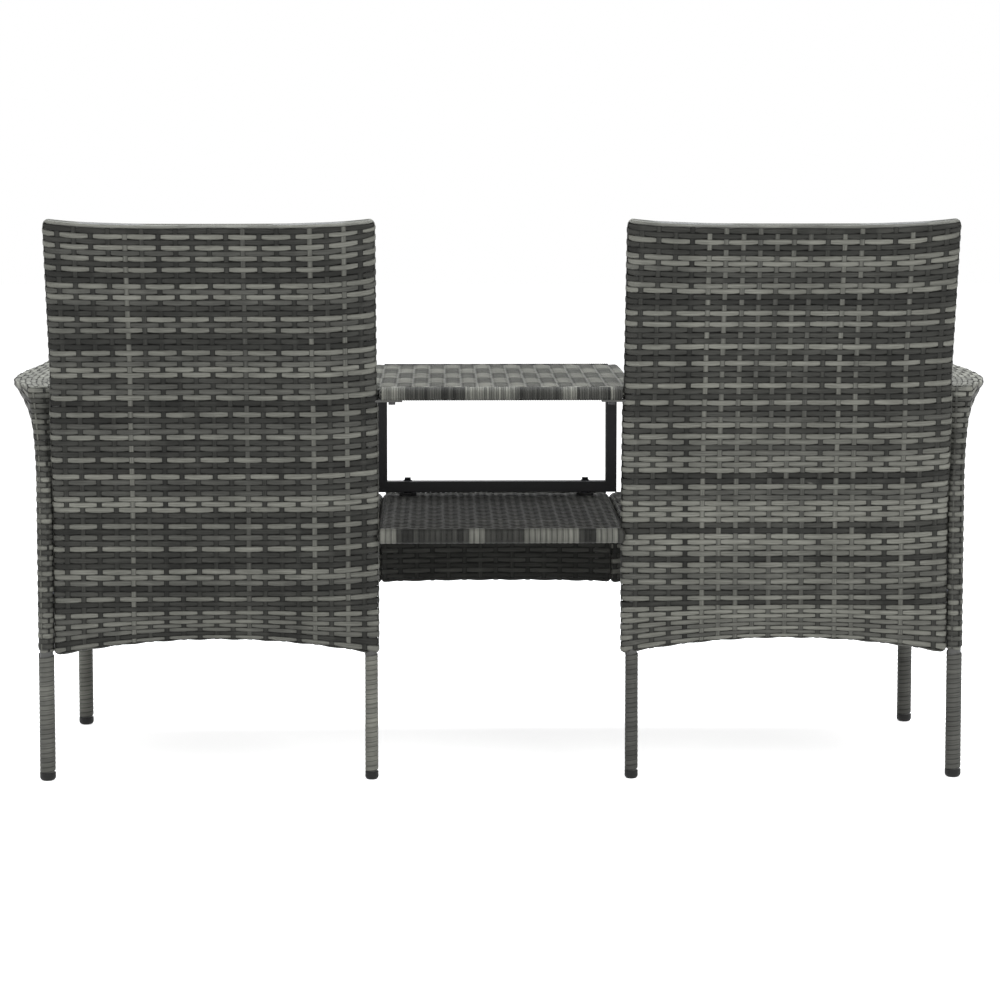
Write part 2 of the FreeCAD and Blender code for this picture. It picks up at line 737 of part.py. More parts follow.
def deck_and_frame(name, x, y, slats):
    """Woven deck over a welded frame of square tube with slats, each slat given by its middle in y."""
    corners = rectangle(x, y)
    above_rim = [("deck_round", lambda edge: edge.BoundBox.ZMax > size.skin)]
    deck = tray(f"{name}_deck", corners, DECK_THICK, above_rim, DECK_BOTTOM)
    x = (f"({x[0]} + {COVER})", f"({x[1]} - {COVER})")
    y = (f"({y[0]} + {COVER})", f"({y[1]} - {COVER})")
    wide = "seat_rail"
    bars = [
        (x, (y[0], f"{y[0]} + {wide}"), RAIL_Z),
        (x, (f"{y[1]} - {wide}", y[1]), RAIL_Z),
        ((x[0], f"{x[0]} + {wide}"), y, RAIL_Z),
        ((f"{x[1]} - {wide}", x[1]), y, RAIL_Z),
    ]
    bars += [(x, (f"{slat} - {wide} / 2", f"{slat} + {wide} / 2"), RAIL_Z) for slat in slats]
    outside, bores = square_tubes(f"{name}_tubes", bars)
    every_edge = [(f"deck_round - {COVER}", lambda edge: True)]
    blank, _ = block(f"{name}_blank", rectangle(x, y), wide, every_edge, RAIL_Z[0])
    rounded_off = joined("Part::Common", f"{name}_rounded", outside, blank)
    return deck, joined("Part::Cut", f"{name}_hollow", rounded_off, bores)


def seat_parts():
    """Welded seat frame and its woven deck, drilled for the bolts, left and right."""
    slats = ("(0 - slat_pitch / 2 - seat_slat_y)", "(slat_pitch / 2 - seat_slat_y)")
    deck, frame = deck_and_frame("seat", (BAY_HALF, SEAT_OUTER), ("0 - front_y", SEAT_BACK), slats)
    tools = holes(side_bolts + rear_bolts + shelf_bolts)
    for source, name in ((frame, "seat_frame"), (deck, "seat_weave")):
        left = keep(drilled(source, tools, f"{name}_left"), f"{name}_left")
        mirrored(left, f"{name}_right")


def both_sides(bolts):
    """Bolts on the left and their mirror images on the right."""
    def flipped(vector):
        return Vector(-vector.x, vector.y, vector.z)

    return bolts + [(flipped(start), flipped(way), length) for start, way, length in bolts]


def shelf_parts():
    """Lower shelf: welded frame and woven deck, with a rail under the table support's bar."""
    half = (f"(0 - {SHELF_HALF})", SHELF_HALF)
    rear_slat = f"({SEAT_BACK} - bolt_inset - bolt_head / 2 - bolt_clear - seat_rail / 2)"
    slats = (f"(0 - {POST_Y})", f"(slat_pitch - {POST_Y})", rear_slat)
    deck, frame = deck_and_frame("shelf", half, ("0 - front_y", "shelf_back_y"), slats)
    tools = holes(both_sides(shelf_bolts + support_bolts))
    keep(drilled(frame, tools, "shelf_frame"), "shelf_frame")
    keep(drilled(deck, tools, "shelf_weave"), "shelf_weave")


def apron(span, bottom, name):
    """Woven apron under a front rail, and the bent hem rail and hangers inside it."""
    depth = (-size.front_y, -size.front_y + 2 * apron_half)
    top = (deck_bottom - size.fit, 0)
    outer = panel_prism(span, bottom, top, 0, depth)
    outer = round_edges(outer, size.panel_corner, lambda edge: runs_along(edge, ALONG))
    outer = round_edges(outer, size.panel_round, lambda edge: not runs_along(edge, ALONG))
    inner = panel_prism(span, bottom, top, size.skin, (depth[0] + size.skin, depth[1] - size.skin))
    hanger_xs = (span[0] + apron_half + size.rod, span[1] - apron_half - size.rod)
    ends = (span[0] + apron_half, span[1] - apron_half)
    hem = Part.Wire(hem_arc(ends, span, *bottom, apron_half, apron_y))
    rail_top = rail_z - size.seat_rail / 2
    hangers = []
    slots = []
    for x in hanger_xs:
        foot = Vector(x, apron_y, hem_height(x, span, *bottom, apron_half))
        hangers.append(straight(foot, Vector(x, apron_y, rail_top), rod_radius))
        slots.append(straight(foot, Vector(x, apron_y, rail_top), rod_radius + size.fit))
    rail = swept(hem, rod_radius).multiFuse(hangers)
    return rail, outer.cut([inner] + slots)


def apron_parts():
    side_span = (bay_half, seat_outer_x)
    side_bottom = (size.apron_bottom_z, size.apron_arch)
    for shape, name in zip(apron(side_span, side_bottom, "side"), ("apron_rail", "apron_weave")):
        pair(shape, name)
    middle_bottom = (size.middle_apron_z, size.middle_apron_arch)
    rail, weave = apron((-shelf_half, shelf_half), middle_bottom, "middle")
    feature(rail, "apron_rail_middle")
    feature(weave, "apron_weave_middle")


# Table
def table_top():
    """Woven top: a wide part ahead of the backs and a tongue that runs back between them."""
    corners = [
        (f"0 - {TABLE_HALF}", "0 - table_front_y"), (TABLE_HALF, "0 - table_front_y"),
        (TABLE_HALF, TABLE_STEP), (TONGUE_HALF, TABLE_STEP),
        (TONGUE_HALF, TABLE_BACK), (f"0 - {TONGUE_HALF}", TABLE_BACK),
        (f"0 - {TONGUE_HALF}", TABLE_STEP), (f"0 - {TABLE_HALF}", TABLE_STEP),
    ]
    thick = worth(TABLE_THICK)
    tongue_half = worth(TONGUE_HALF)

    def at_front(edge):
        return runs_along(edge, UP) and edge.BoundBox.YMax < 0

    def at_rear(edge):
        outward = abs(edge.BoundBox.XMax) > tongue_half + 1 or edge.BoundBox.YMax > table_step_y + 1
        return runs_along(edge, UP) and edge.BoundBox.YMin > 0 and outward

    roundings = [
        ("table_corner", at_front),
        ("tongue_corner", at_rear),
        ("panel_round", lambda edge: edge.BoundBox.ZMin > thick - 0.01),
    ]
    return tray("table_weave", corners, TABLE_THICK, roundings, TABLE_BOTTOM)


def table_frame():
    """Bent ring of tube under the top's rim, with two slats, and a rear tube for the tongue."""
    radius = size.table_tube / 2
    half = table_half - table_half_thick
    rear = table_step_y - table_half_thick
    z = table_mid_z
    ring = bent_path([
        Vector(0, rear, z), Vector(half, rear, z), Vector(half, ring_y, z),
        Vector(-half, ring_y, z), Vector(-half, rear, z), Vector(0, rear, z),
    ], [size.ring_bend] * 4)
    tongue = worth(TONGUE_HALF) - cover - radius
    bars = [
        line_path(Vector(-tongue, tab_y, z), Vector(tongue, tab_y, z)),
        line_path(Vector(-tongue / 2, rear, z), Vector(-tongue / 2, tab_y, z)),
        line_path(Vector(tongue / 2, rear, z), Vector(tongue / 2, tab_y, z)),
    ]
    for y in (-size.table_slat_y - size.slat_pitch / 2, -size.table_slat_y + size.slat_pitch / 2):
        bars.append(line_path(Vector(-half, y, z), Vector(half, y, z)))
    frame = welded([(ring, radius)] + [(bar, radius) for bar in bars])
    return frame.cut(holes(both_sides(table_screws)))


def table_support():
    """Black square-tube stand: two posts, a bar between their feet and a plate on each top."""
    y = (f"(0 - {POST_Y} - post / 2)", f"(0 - {POST_Y} + post / 2)")
    top = f"({TABLE_BOTTOM} - flange_plate)"
    left = (f"({POST_X} - post / 2)", f"({POST_X} + post / 2)")
    right = (f"(0 - {POST_X} - post / 2)", f"(0 - {POST_X} + post / 2)")
    bars = [
        (left, y, (SUPPORT_FOOT, top)),
        (right, y, (SUPPORT_FOOT, top)),
        ((right[0], left[1]), y, (SUPPORT_FOOT, f"({SUPPORT_FOOT} + post)")),
    ]
    outside, bores = square_tubes("table_support", bars)
    document.recompute()
    softened = document.addObject("Part::Fillet", "table_support_rounded")
    softened.Base = outside
    softened.Edges = [(number, size.post_round, size.post_round)
                      for number, edge in enumerate(outside.Shape.Edges, start=1) if edge.Length > size.post]
    tubes = joined("Part::Cut", "table_support_tubes", softened, bores)
    plate_z = (top, f"({top} + flange_plate)")
    plates = [
        box_between("plate_left", (f"({left[0]} - flange)", left[1]), y, plate_z),
        box_between("plate_right", (right[0], f"({right[1]} + flange)"), y, plate_z),
    ]
    stand = fused("table_support_stand", [tubes] + plates)
    tools = holes(both_sides(table_screws + support_bolts))
    keep(drilled(stand, tools, "table_support"), "table_support")


def rings(outer, height, base_z, xs, y):
    """A row of upright rings with a bolt hole each."""
    return [
        Part.makeCylinder(outer, height, Vector(x, y, base_z)).cut(
            Part.makeCylinder(hole_radius, height, Vector(x, y, base_z)))
        for x in xs
    ]


def fasteners():
    """Each row of bolts in a node of its own, with the support's washers and pads."""
    for rows, name in ((side_bolts, "seat_side_bolts"), (rear_bolts, "seat_back_bolts")):
        pair(Part.makeCompound([bolt_shape(*bolt) for bolt in rows]), name)
    singles = ((shelf_bolts, "shelf_bolts"), (leg_bolts, "back_leg_bolts"),
               (support_bolts, "support_bolts"), (table_screws, "table_screws"))
    for rows, name in singles:
        feature(Part.makeCompound([bolt_shape(*bolt) for bolt in both_sides(rows)]), name)
    xs = (support_bolt_x, -support_bolt_x)
    washer_z = size.deck_z + size.pad_height - size.washer_plate
    lower = rings(size.washer / 2, size.washer_plate, washer_z, xs, -post_y)
    upper = rings(size.washer / 2, size.washer_plate, support_top, xs, -post_y)
    feature(Part.makeCompound(lower + upper), "support_washers")
    pads = rings(size.washer, size.pad_height - size.washer_plate, size.deck_z, xs, -post_y)
    feature(Part.makeCompound(pads), "support_pads")


# Feet and leg wraps
LEGS = {
    "rear_outer": ("outer_tube", "outer_leg_x", "leg_back_y", "side_bottom_z"),
    "front_outer": ("outer_tube", "(outer_leg_x - leg_toe_in)", "0 - leg_front_y", "side_bottom_z"),
    "rear_inner": ("inner_tube", "inner_leg_x", "leg_back_y", "back_bottom_z"),
}


def foot_cap(node, tube, x, y):
    """Domed plastic cap with a stem that plugs the tube's open end."""
    holder = body(node)
    sketch = sketch_on(holder, "XZ_Plane", f"{node}_profile")
    rim = f"({tube} / 2 + fit + leg_wrap)"
    stem = f"({tube} / 2 - tube_wall - fit)"
    stem_top = "(cap_height + cap_stem)"
    corners = [("0", "0"), ("cap_flat", "0"), (rim, "cap_shoulder"), (rim, "cap_height"),
               (stem, "cap_height"), (stem, stem_top), ("0", stem_top)]
    half_turn = math.radians(45)
    dome = Vector(size.cap_flat + (worth(rim) - size.cap_flat) * math.sin(half_turn),
                  size.cap_shoulder * (1 - math.cos(half_turn)), 0)
    outline(sketch, corners, {1: dome})
    turned = holder.newObject("PartDesign::Revolution", f"{node}_turned")
    turned.Profile = sketch
    turned.ReferenceAxis = (sketch, ["V_Axis"])
    turned.Angle = 360
    place(holder, x, y, "0")
    return keep(holder, node)


def leg_wrap(node, tube, x, y, top):
    """Cane wound round a bare leg, from its cap to the hem above."""
    cylinders = []
    for kind, radius in (("outside", f"{tube} / 2 + fit + leg_wrap"), ("bore", f"{tube} / 2 + fit")):
        cylinder = document.addObject("Part::Cylinder", f"{node}_{kind}")
        cylinder.setExpression("Radius", bound(radius))
        cylinder.setExpression("Height", bound(f"{top} - fit - cap_height"))
        place(cylinder, x, y, "cap_height")
        cylinders.append(cylinder)
    sleeve = document.addObject("Part::Cut", node)
    sleeve.Base, sleeve.Tool = cylinders
    return keep(sleeve, node)


def feet():
    for side, sign in SIDES.items():
        for leg, (tube, x, y, top) in LEGS.items():
            along = x if sign > 0 else f"0 - {x}"
            foot_cap(f"foot_cap_{leg}_{side}", tube, along, y)
            leg_wrap(f"leg_wrap_{leg}_{side}", tube, along, y, top)


# Cushions
def pillow_outline(middle, half_x, half_y, corner, draw, z):
    """Rounded oblong whose four sides are drawn in between its corners."""
    edges = []
    centres = [(half_x - corner, half_y - corner), (corner - half_x, half_y - corner),
               (corner - half_x, corner - half_y), (half_x - corner, corner - half_y)]
    for quarter, (across, along) in enumerate(centres):
        turns = [math.radians(90 * quarter + turn) for turn in (0, 45, 90)]
        centre = Vector(middle[0] + across, middle[1] + along, z)
        arc = [centre + Vector(math.cos(turn), math.sin(turn), 0) * corner for turn in turns]
        edges.append(Part.Arc(*arc).toShape())
    sides = []
    for quarter, edge in enumerate(edges):
        start = edge.valueAt(edge.LastParameter)
        following = edges[(quarter + 1) % 4]
        end = following.valueAt(following.FirstParameter)
        inward = Vector(middle[0], middle[1], z) - (start + end) / 2
        sides.append(Part.Arc(start, (start + end) / 2 + unit(inward) * draw, end).toShape())
    return Part.Wire([edge for both in zip(edges, sides) for edge in both])


def cushion():
    """Box cushion with bulging edges, drawn-in sides and a crowned top."""
    outer_x = leg_front_x - outer_cover - size.cushion_gap
    back_edge = size.leg_back_y - panel_half - size.cushion_rear_gap
    front_edge = -size.front_y + size.cushion_front_gap
    middle = ((size.cushion_inner_x + outer_x) / 2, (back_edge + front_edge) / 2)
    half_x = (outer_x - size.cushion_inner_x) / 2
    half_y = (back_edge - front_edge) / 2
    base = size.deck_z + size.fit
    side = size.cushion_side
    levels = [(side * share, scale) for share, scale in CUSHION_SIDE]
    levels += [(side + size.cushion_crown * (1 - scale ** CROWN_POWER), scale) for scale in CUSHION_CROWN]
    sections = [
        pillow_outline(middle, half_x * scale, half_y * scale, size.cushion_corner * scale,
                       size.cushion_draw * scale, base + rise)
        for rise, scale in levels
    ]
    return Part.makeLoft(sections, True, False)


for builder, name in ((side_frame, "side_frame"), (side_skin, "side_weave"), (arm_rod, "arm_rod"),
                      (back_frame, "back_frame"), (back_skin, "back_weave"), (cushion, "seat_cushion")):
    pair(builder(), name)
seat_parts()
shelf_parts()
apron_parts()
keep(table_top(), "table_weave")
feature(table_frame(), "table_frame")
table_support()
fasteners()
feet()

document.recompute()
for thing in document.Objects:
    if {"Invalid", "Error"} & set(thing.State):
        raise RuntimeError(f"{thing.Label} did not compute: {thing.State}")
for thing in NODES:
    if thing.Shape.isNull() or not thing.Shape.isValid() or not thing.Shape.Solids:
        raise RuntimeError(f"{thing.Label} has no valid solid")

os.makedirs("parts", exist_ok=True)
for thing in NODES:
    thing.Shape.exportStep(f"parts/{thing.Label}.step")
    print(thing.Label, len(thing.Shape.Solids), "solid(s),", round(thing.Shape.Volume / 1000, 1), "cm3")
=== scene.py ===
"""Companion seat bench, dressed: two woven seats with a table between them, seen from behind.

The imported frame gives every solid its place. This script replaces the plain woven skins with real
strands of flat cane, inflates the cushions, winds the legs, and gives each finish its own material.
Lengths are in metres, +Z is up, and the bench faces -Y.
"""

from __future__ import annotations

import json
import logging
import math
from contextlib import contextmanager
from dataclasses import dataclass, replace
from enum import Enum
from typing import Callable, Iterator

import bmesh
import bpy
import numpy as np
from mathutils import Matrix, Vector
from mathutils.bvhtree import BVHTree

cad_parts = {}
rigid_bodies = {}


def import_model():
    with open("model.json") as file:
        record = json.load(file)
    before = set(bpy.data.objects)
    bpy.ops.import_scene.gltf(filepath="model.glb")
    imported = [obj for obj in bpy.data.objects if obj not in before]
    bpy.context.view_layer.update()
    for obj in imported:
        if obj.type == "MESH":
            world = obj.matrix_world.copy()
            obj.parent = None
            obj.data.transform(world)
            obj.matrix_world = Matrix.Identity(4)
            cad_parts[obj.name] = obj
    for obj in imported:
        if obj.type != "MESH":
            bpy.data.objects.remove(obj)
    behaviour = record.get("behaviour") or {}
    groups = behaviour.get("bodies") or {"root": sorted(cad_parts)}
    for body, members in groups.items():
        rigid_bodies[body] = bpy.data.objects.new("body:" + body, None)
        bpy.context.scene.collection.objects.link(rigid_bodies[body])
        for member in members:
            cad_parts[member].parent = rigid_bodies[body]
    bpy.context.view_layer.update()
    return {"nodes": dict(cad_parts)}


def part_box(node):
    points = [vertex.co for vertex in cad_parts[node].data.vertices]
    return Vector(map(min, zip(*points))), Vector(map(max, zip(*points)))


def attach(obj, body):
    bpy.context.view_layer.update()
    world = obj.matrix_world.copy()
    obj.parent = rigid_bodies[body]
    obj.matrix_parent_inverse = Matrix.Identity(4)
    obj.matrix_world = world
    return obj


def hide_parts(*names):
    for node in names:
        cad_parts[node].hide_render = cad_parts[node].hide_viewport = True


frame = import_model()

Array = np.ndarray
Piece = bpy.types.Object
Tree = bpy.types.NodeTree
Socket = bpy.types.NodeSocket
Pair = tuple[float, float]
Triple = tuple[float, float, float]
Width = Callable[[Array], Array]  # half a slab's width at places along it
Place = Callable[[Array, Array, Array], Array]  # points from places across, out of and along a slab

LOG = logging.getLogger("bench")
ROW_LIFT = 0.0014  # how far the rows stand from the surface that they are laid on
QUARTER = math.pi / 2  # a quarter turn
SMOOTH_ANGLE = math.radians(32)  # faces that meet at less than this look like one curve
WHITE = (1.0, 1.0, 1.0, 1.0)
MAP_STEP = (0.37, 0.083)  # how far one strand's map lies from the next one's


class Side(Enum):
    """The two halves of the bench, with the sign of their x."""

    LEFT = "left"
    RIGHT = "right"

    @property
    def sign(self) -> float:
        """Plus one on the left half, minus one on the right."""
        return 1.0 if self is Side.LEFT else -1.0


class Body(Enum):
    """The moving bodies of the model."""

    BENCH = "bench"
    LEFT_CUSHION = "left_cushion"
    RIGHT_CUSHION = "right_cushion"


# Colours and nodes ------------------------------------------------------------


def linear(code: str) -> tuple[float, float, float, float]:
    """Turn an sRGB hex colour into the linear values that shaders use.

    Args:
        code: six hex digits with a leading hash.

    Returns:
        Linear red, green, blue and an alpha of one.
    """
    parts = [int(code[i:i + 2], 16) / 255.0 for i in (1, 3, 5)]
    red, green, blue = [p / 12.92 if p <= 0.04045 else ((p + 0.055) / 1.055) ** 2.4 for p in parts]
    return red, green, blue, 1.0


def add_node(tree: Tree, kind: str, settings: dict | None = None,
             inputs: dict | None = None) -> bpy.types.Node:
    """Add one node, set its properties, and fill or link its inputs.

    Args:
        tree: the node tree that gets the node.
        kind: the node's type name.
        settings: properties of the node by name.
        inputs: values or output sockets, by input name or number.

    Returns:
        The new node.
    """
    made = tree.nodes.new(kind)
    for key, value in (settings or {}).items():
        setattr(made, key, value)
    for key, value in (inputs or {}).items():
        if isinstance(value, Socket):
            tree.links.new(value, made.inputs[key])
        else:
            made.inputs[key].default_value = value
    return made


def new_material(name: str) -> tuple[bpy.types.Material, Tree]:
    """Make an empty node material.

    Args:
        name: the finish's name.

    Returns:
        The material and its empty node tree.
    """
    made = bpy.data.materials.new(name)
    made.use_nodes = True
    made.node_tree.nodes.clear()
    return made, made.node_tree


def finish_output(tree: Tree, shader: bpy.types.Node) -> None:
    """Send a shader to the material's output."""
    add_node(tree, "ShaderNodeOutputMaterial", None, {"Surface": shader.outputs[0]})


def maths(tree: Tree, operation: str, *values: Socket | float) -> Socket:
    """Add a sum, product or the like, and give its result."""
    made = add_node(tree, "ShaderNodeMath", {"operation": operation}, dict(enumerate(values)))
    return made.outputs[0]


def noise(tree: Tree, vector: Socket, scale: float, detail: float,
          roughness: float = 0.5, dimensions: str = "3D") -> Socket:
    """Add a noise texture.

    Args:
        tree: the material's tree.
        vector: the coordinates that it is laid on.
        scale: how many spots a unit holds.
        detail: how many finer layers it has.
        roughness: how strong the finer layers are.
        dimensions: 2D on a map, 3D on object coordinates.

    Returns:
        The noise's grey.
    """
    made = add_node(tree, "ShaderNodeTexNoise", {"noise_dimensions": dimensions}, {
        "Vector": vector, "Scale": scale, "Detail": detail, "Roughness": roughness})
    return made.outputs["Fac"]


def remap(tree: Tree, grey: Socket, to: Pair,
          start: Pair = (0.0, 1.0), curve: str = "LINEAR") -> Socket:
    """Map a grey from one range to another.

    Args:
        tree: the material's tree.
        grey: the grey to map.
        to: the range that it gets.
        start: the range that it has.
        curve: how it goes from end to end.

    Returns:
        The mapped grey.
    """
    made = add_node(tree, "ShaderNodeMapRange", {"interpolation_type": curve}, {
        "Value": grey, "From Min": start[0], "From Max": start[1],
        "To Min": to[0], "To Max": to[1]})
    return made.outputs["Result"]


def colours(tree: Tree, grey: Socket, stops: dict[float, str]) -> Socket:
    """Turn a grey into colours.

    Args:
        tree: the material's tree.
        grey: the grey to colour.
        stops: hex colours by their place from 0 to 1, in order.

    Returns:
        The colour.
    """
    made = add_node(tree, "ShaderNodeValToRGB", None, {"Fac": grey})
    ends = made.color_ramp.elements
    (first, dark), *between, (last, light) = stops.items()
    ends[0].position, ends[1].position = first, last
    ends[0].color, ends[1].color = linear(dark), linear(light)
    for position, code in between:
        ends.new(position).color = linear(code)
    return made.outputs["Color"]


def relief(tree: Tree, height: Socket, strength: float, distance: float) -> Socket:
    """Turn a grey into fine relief, and give the normal."""
    return add_node(tree, "ShaderNodeBump", None, {
        "Height": height, "Strength": strength, "Distance": distance}).outputs[0]


# Finishes ---------------------------------------------------------------------


@dataclass(frozen=True)
class CaneFinish:
    """Extruded flat polyethylene cane: matt, with fine grooves along each strand.

    The extruder leaves lengthwise grooves about 1.5 mm apart, which catch the light as streaks;
    these streaks of light and shade are painted into the colour.
    Every batch of strand has a slightly different grey, and painted shade darkens each strand
    towards its rolled edges.
    """

    name: str
    dark: str
    middle: str
    light: str
    roughness: float = 0.52
    gloss: float = 0.1
    groove: float = 0.0016
    streak: float = 0.045
    # edge_from and edge_shade set the painted shade towards each strand's edges: where it starts
    # across the strand and how dark it gets
    edge_from: float = 0.5
    edge_shade: float = 0.5

    def make(self) -> bpy.types.Material:
        """Build the material from the strand's own map (length, width) and its tone.

        Returns:
            The material.
        """
        made, tree = new_material(self.name)
        tone = add_node(tree, "ShaderNodeAttribute", {"attribute_name": "tone"})
        edge = add_node(tree, "ShaderNodeAttribute", {"attribute_name": "edge"})
        strand = add_node(tree, "ShaderNodeUVMap", {"uv_map": "strand"})
        stretched = add_node(tree, "ShaderNodeMapping", None, {
            "Vector": strand.outputs[0], "Scale": (1.0 / self.streak, 1.0 / self.groove, 1.0)})
        place = add_node(tree, "ShaderNodeTexCoord").outputs["Object"]
        grey = colours(tree, tone.outputs["Fac"],
                       {0.0: self.dark, 0.5: self.middle, 1.0: self.light})
        grooves = noise(tree, stretched.outputs[0], 1.0, 2.0, 0.6, "2D")
        # painted light and shade: the grooves' streaks are painted into the colour, about a fifth
        # lighter and darker, besides the relief
        grain = remap(tree, grooves, (0.78, 1.22), (0.3, 0.7))
        weather = remap(tree, noise(tree, place, 14.0, 3.0, 0.55), (0.85, 1.15), (0.3, 0.7))
        # painted shade: each strand darkens towards its edges, where its round section turns away
        # from the light
        rolled = remap(tree, edge.outputs["Fac"], (1.0, self.edge_shade), (self.edge_from, 1.0),
                       "SMOOTHSTEP")
        light = maths(tree, "MULTIPLY", maths(tree, "MULTIPLY", grain, weather), rolled)
        shade = add_node(tree, "ShaderNodeVectorMath", {"operation": "SCALE"},
                         {0: grey, "Scale": light})
        shader = add_node(tree, "ShaderNodeBsdfPrincipled", None, {
            "Base Color": shade.outputs[0], "Normal": relief(tree, grooves, 0.35, 0.0004),
            "Roughness": remap(tree, grooves, (self.roughness - 0.1, self.roughness + 0.12)),
            "IOR": 1.5, "Specular IOR Level": self.gloss})
        finish_output(tree, shader)
        return made


@dataclass(frozen=True)
class ClothFinish:
    """Spun polyester cover cloth: plain weave with a slub, almost no gloss.

    A thread is about 0.5 mm, too fine to show in the picture, so the weave is drawn at 1.6 mm and
    the slub and handling marks at a few centimetres.
    """

    name: str
    warp: str
    weft: str
    thread: float = 0.0016
    roughness: float = 0.92

    def make(self) -> bpy.types.Material:
        """Build the material on object coordinates, so that it needs no map.

        Returns:
            The material.
        """
        made, tree = new_material(self.name)
        place = add_node(tree, "ShaderNodeTexCoord").outputs["Object"]
        warp, weft = [add_node(tree, "ShaderNodeTexWave", {
            "wave_type": "BANDS", "bands_direction": axis, "wave_profile": "SIN"}, {
                "Vector": place, "Scale": 0.314 / self.thread,
                "Distortion": 0.6, "Detail": 1.0}).outputs["Fac"] for axis in ("X", "Y")]
        woven = maths(tree, "MULTIPLY_ADD", noise(tree, place, 90.0, 4.0), 0.7,
                      maths(tree, "MULTIPLY", warp, weft))
        worn = maths(tree, "MULTIPLY_ADD", noise(tree, place, 7.0, 2.0), 0.4, woven)
        shader = add_node(tree, "ShaderNodeBsdfPrincipled", None, {
            "Base Color": colours(tree, worn, {0.25: self.warp, 1.0: self.weft}),
            "Normal": relief(tree, woven, 0.4, 0.0005), "Roughness": self.roughness,
            "Sheen Weight": 0.25, "Sheen Roughness": 0.5})
        finish_output(tree, shader)
        return made


@dataclass(frozen=True)
class CoatFinish:
    """A plain coat or moulding: powder coat, rubber, moulded plastic or black zinc plate.

    Powder coat has an orange-peel skin about 1.5 mm across, moulded plastic a spark-eroded texture
    under 1 mm, and black zinc plate a cloudy bloom: `grain` is that size and `cloud` the bloom's.
    """

    name: str
    base: str
    second: str
    roughness: float
    grain: float
    depth: float
    cloud: float = 0.05
    metallic: float = 0.0
    gloss: float = 0.5

    def make(self) -> bpy.types.Material:
        """Build the material on object coordinates.

        Returns:
            The material.
        """
        made, tree = new_material(self.name)
        place = add_node(tree, "ShaderNodeTexCoord").outputs["Object"]
        wide = noise(tree, place, 1.0 / self.cloud, 3.0)
        fine = noise(tree, place, 1.0 / self.grain, 2.0)
        shader = add_node(tree, "ShaderNodeBsdfPrincipled", None, {
            "Base Color": colours(tree, wide, {0.3: self.base, 0.7: self.second}),
            "Roughness": remap(tree, wide, (self.roughness - 0.08, self.roughness + 0.08)),
            "Normal": relief(tree, fine, 0.3, self.depth),
            "Metallic": self.metallic, "Specular IOR Level": self.gloss})
        finish_output(tree, shader)
        return made


class Finish(Enum):
    """Every finish on the bench, each named for what the real one is."""

    WOVEN_CANE = CaneFinish("flat_cane_woven", "#20201e", "#4a4a46", "#6f6f68")
    # the wound cane gets stronger painted shade towards its strands' edges, for the shade in the
    # grooves between the turns
    LEG_CANE = CaneFinish("flat_cane_wound", "#2c2c2b", "#52524e", "#7c7c74", edge_from=0.62,
                          edge_shade=0.35)
    COVER_CLOTH = ClothFinish("polyester_cloth_charcoal", "#26262a", "#414144")
    BLACK_STEEL = CoatFinish("steel_powder_coated_black", "#222224", "#28282a",
                             0.42, 0.0015, 0.0003)
    FRAME_STEEL = CoatFinish("steel_powder_coated_grey", "#3a3a38", "#42423f",
                             0.5, 0.0015, 0.0003)
    ZINC_STEEL = CoatFinish("steel_zinc_black", "#37383a", "#4a4b4e",
                            0.34, 0.0008, 0.0001, cloud=0.01, metallic=1.0)
    PAD_RUBBER = CoatFinish("nitrile_rubber_moulded", "#1c1c1c", "#232323",
                            0.78, 0.001, 0.0002)
    FOOT_PLASTIC = CoatFinish("polypropylene_moulded", "#111111", "#181817",
                              0.55, 0.0008, 0.0002, gloss=0.25)

    @property
    def material(self) -> bpy.types.Material:
        """The finish's material, made once."""
        return bpy.data.materials.get(self.value.name) or self.value.make()


# Mesh tools -------------------------------------------------------------------


def deselect() -> None:
    """Leave nothing selected, because an operator acts on all that is."""
    if bpy.context.mode != "OBJECT":
        bpy.ops.object.mode_set(mode="OBJECT")
    bpy.ops.object.select_all(action="DESELECT")


def focus(obj: Piece) -> None:
    """Select one object alone and make it active.

    Args:
        obj: the object to work on.
    """
    deselect()
    obj.select_set(True)
    bpy.context.view_layer.objects.active = obj


def modify(obj: Piece, kind: str, **settings: object) -> None:
    """Add one modifier, set it and apply it.

    Args:
        obj: the object to change.
        kind: the modifier's type.
        settings: its properties.
    """
    focus(obj)
    bpy.ops.object.modifier_add(type=kind)
    modifier = obj.modifiers[-1]
    for key, value in settings.items():
        setattr(modifier, key, value)
    bpy.ops.object.modifier_apply(modifier=modifier.name)


@contextmanager
def editing(obj: Piece, select: str | None = "SELECT") -> Iterator[None]:
    """Open a mesh for editing, and close it afterwards.

    Args:
        obj: the mesh object.
        select: what select_all does first, or None to keep what is selected.

    Yields:
        Nothing.
    """
    focus(obj)
    bpy.ops.object.mode_set(mode="EDIT")
    if select:
        bpy.ops.mesh.select_all(action=select)
    yield
    bpy.ops.object.mode_set(mode="OBJECT")


def repeat(obj: Piece, count: int, offset: Triple, merge: bool = False) -> None:
    """Repeat a mesh in a straight line, `offset` apart, and merge what meets if asked."""
    modify(obj, "ARRAY", count=count, use_relative_offset=False, use_constant_offset=True,
           constant_offset_displace=offset, use_merge_vertices=merge, merge_threshold=1e-5)


def coordinates(obj: Piece) -> Array:
    """Read a mesh's points.

    Args:
        obj: the mesh object.

    Returns:
        One row of x, y, z per vertex.
    """
    flat = np.empty(len(obj.data.vertices) * 3)
    obj.data.vertices.foreach_get("co", flat)
    return flat.reshape(-1, 3)


def set_coordinates(obj: Piece, points: Array) -> None:
    """Write a mesh's points, one row of x, y, z per vertex."""
    obj.data.vertices.foreach_set("co", points.ravel())
    obj.data.update()


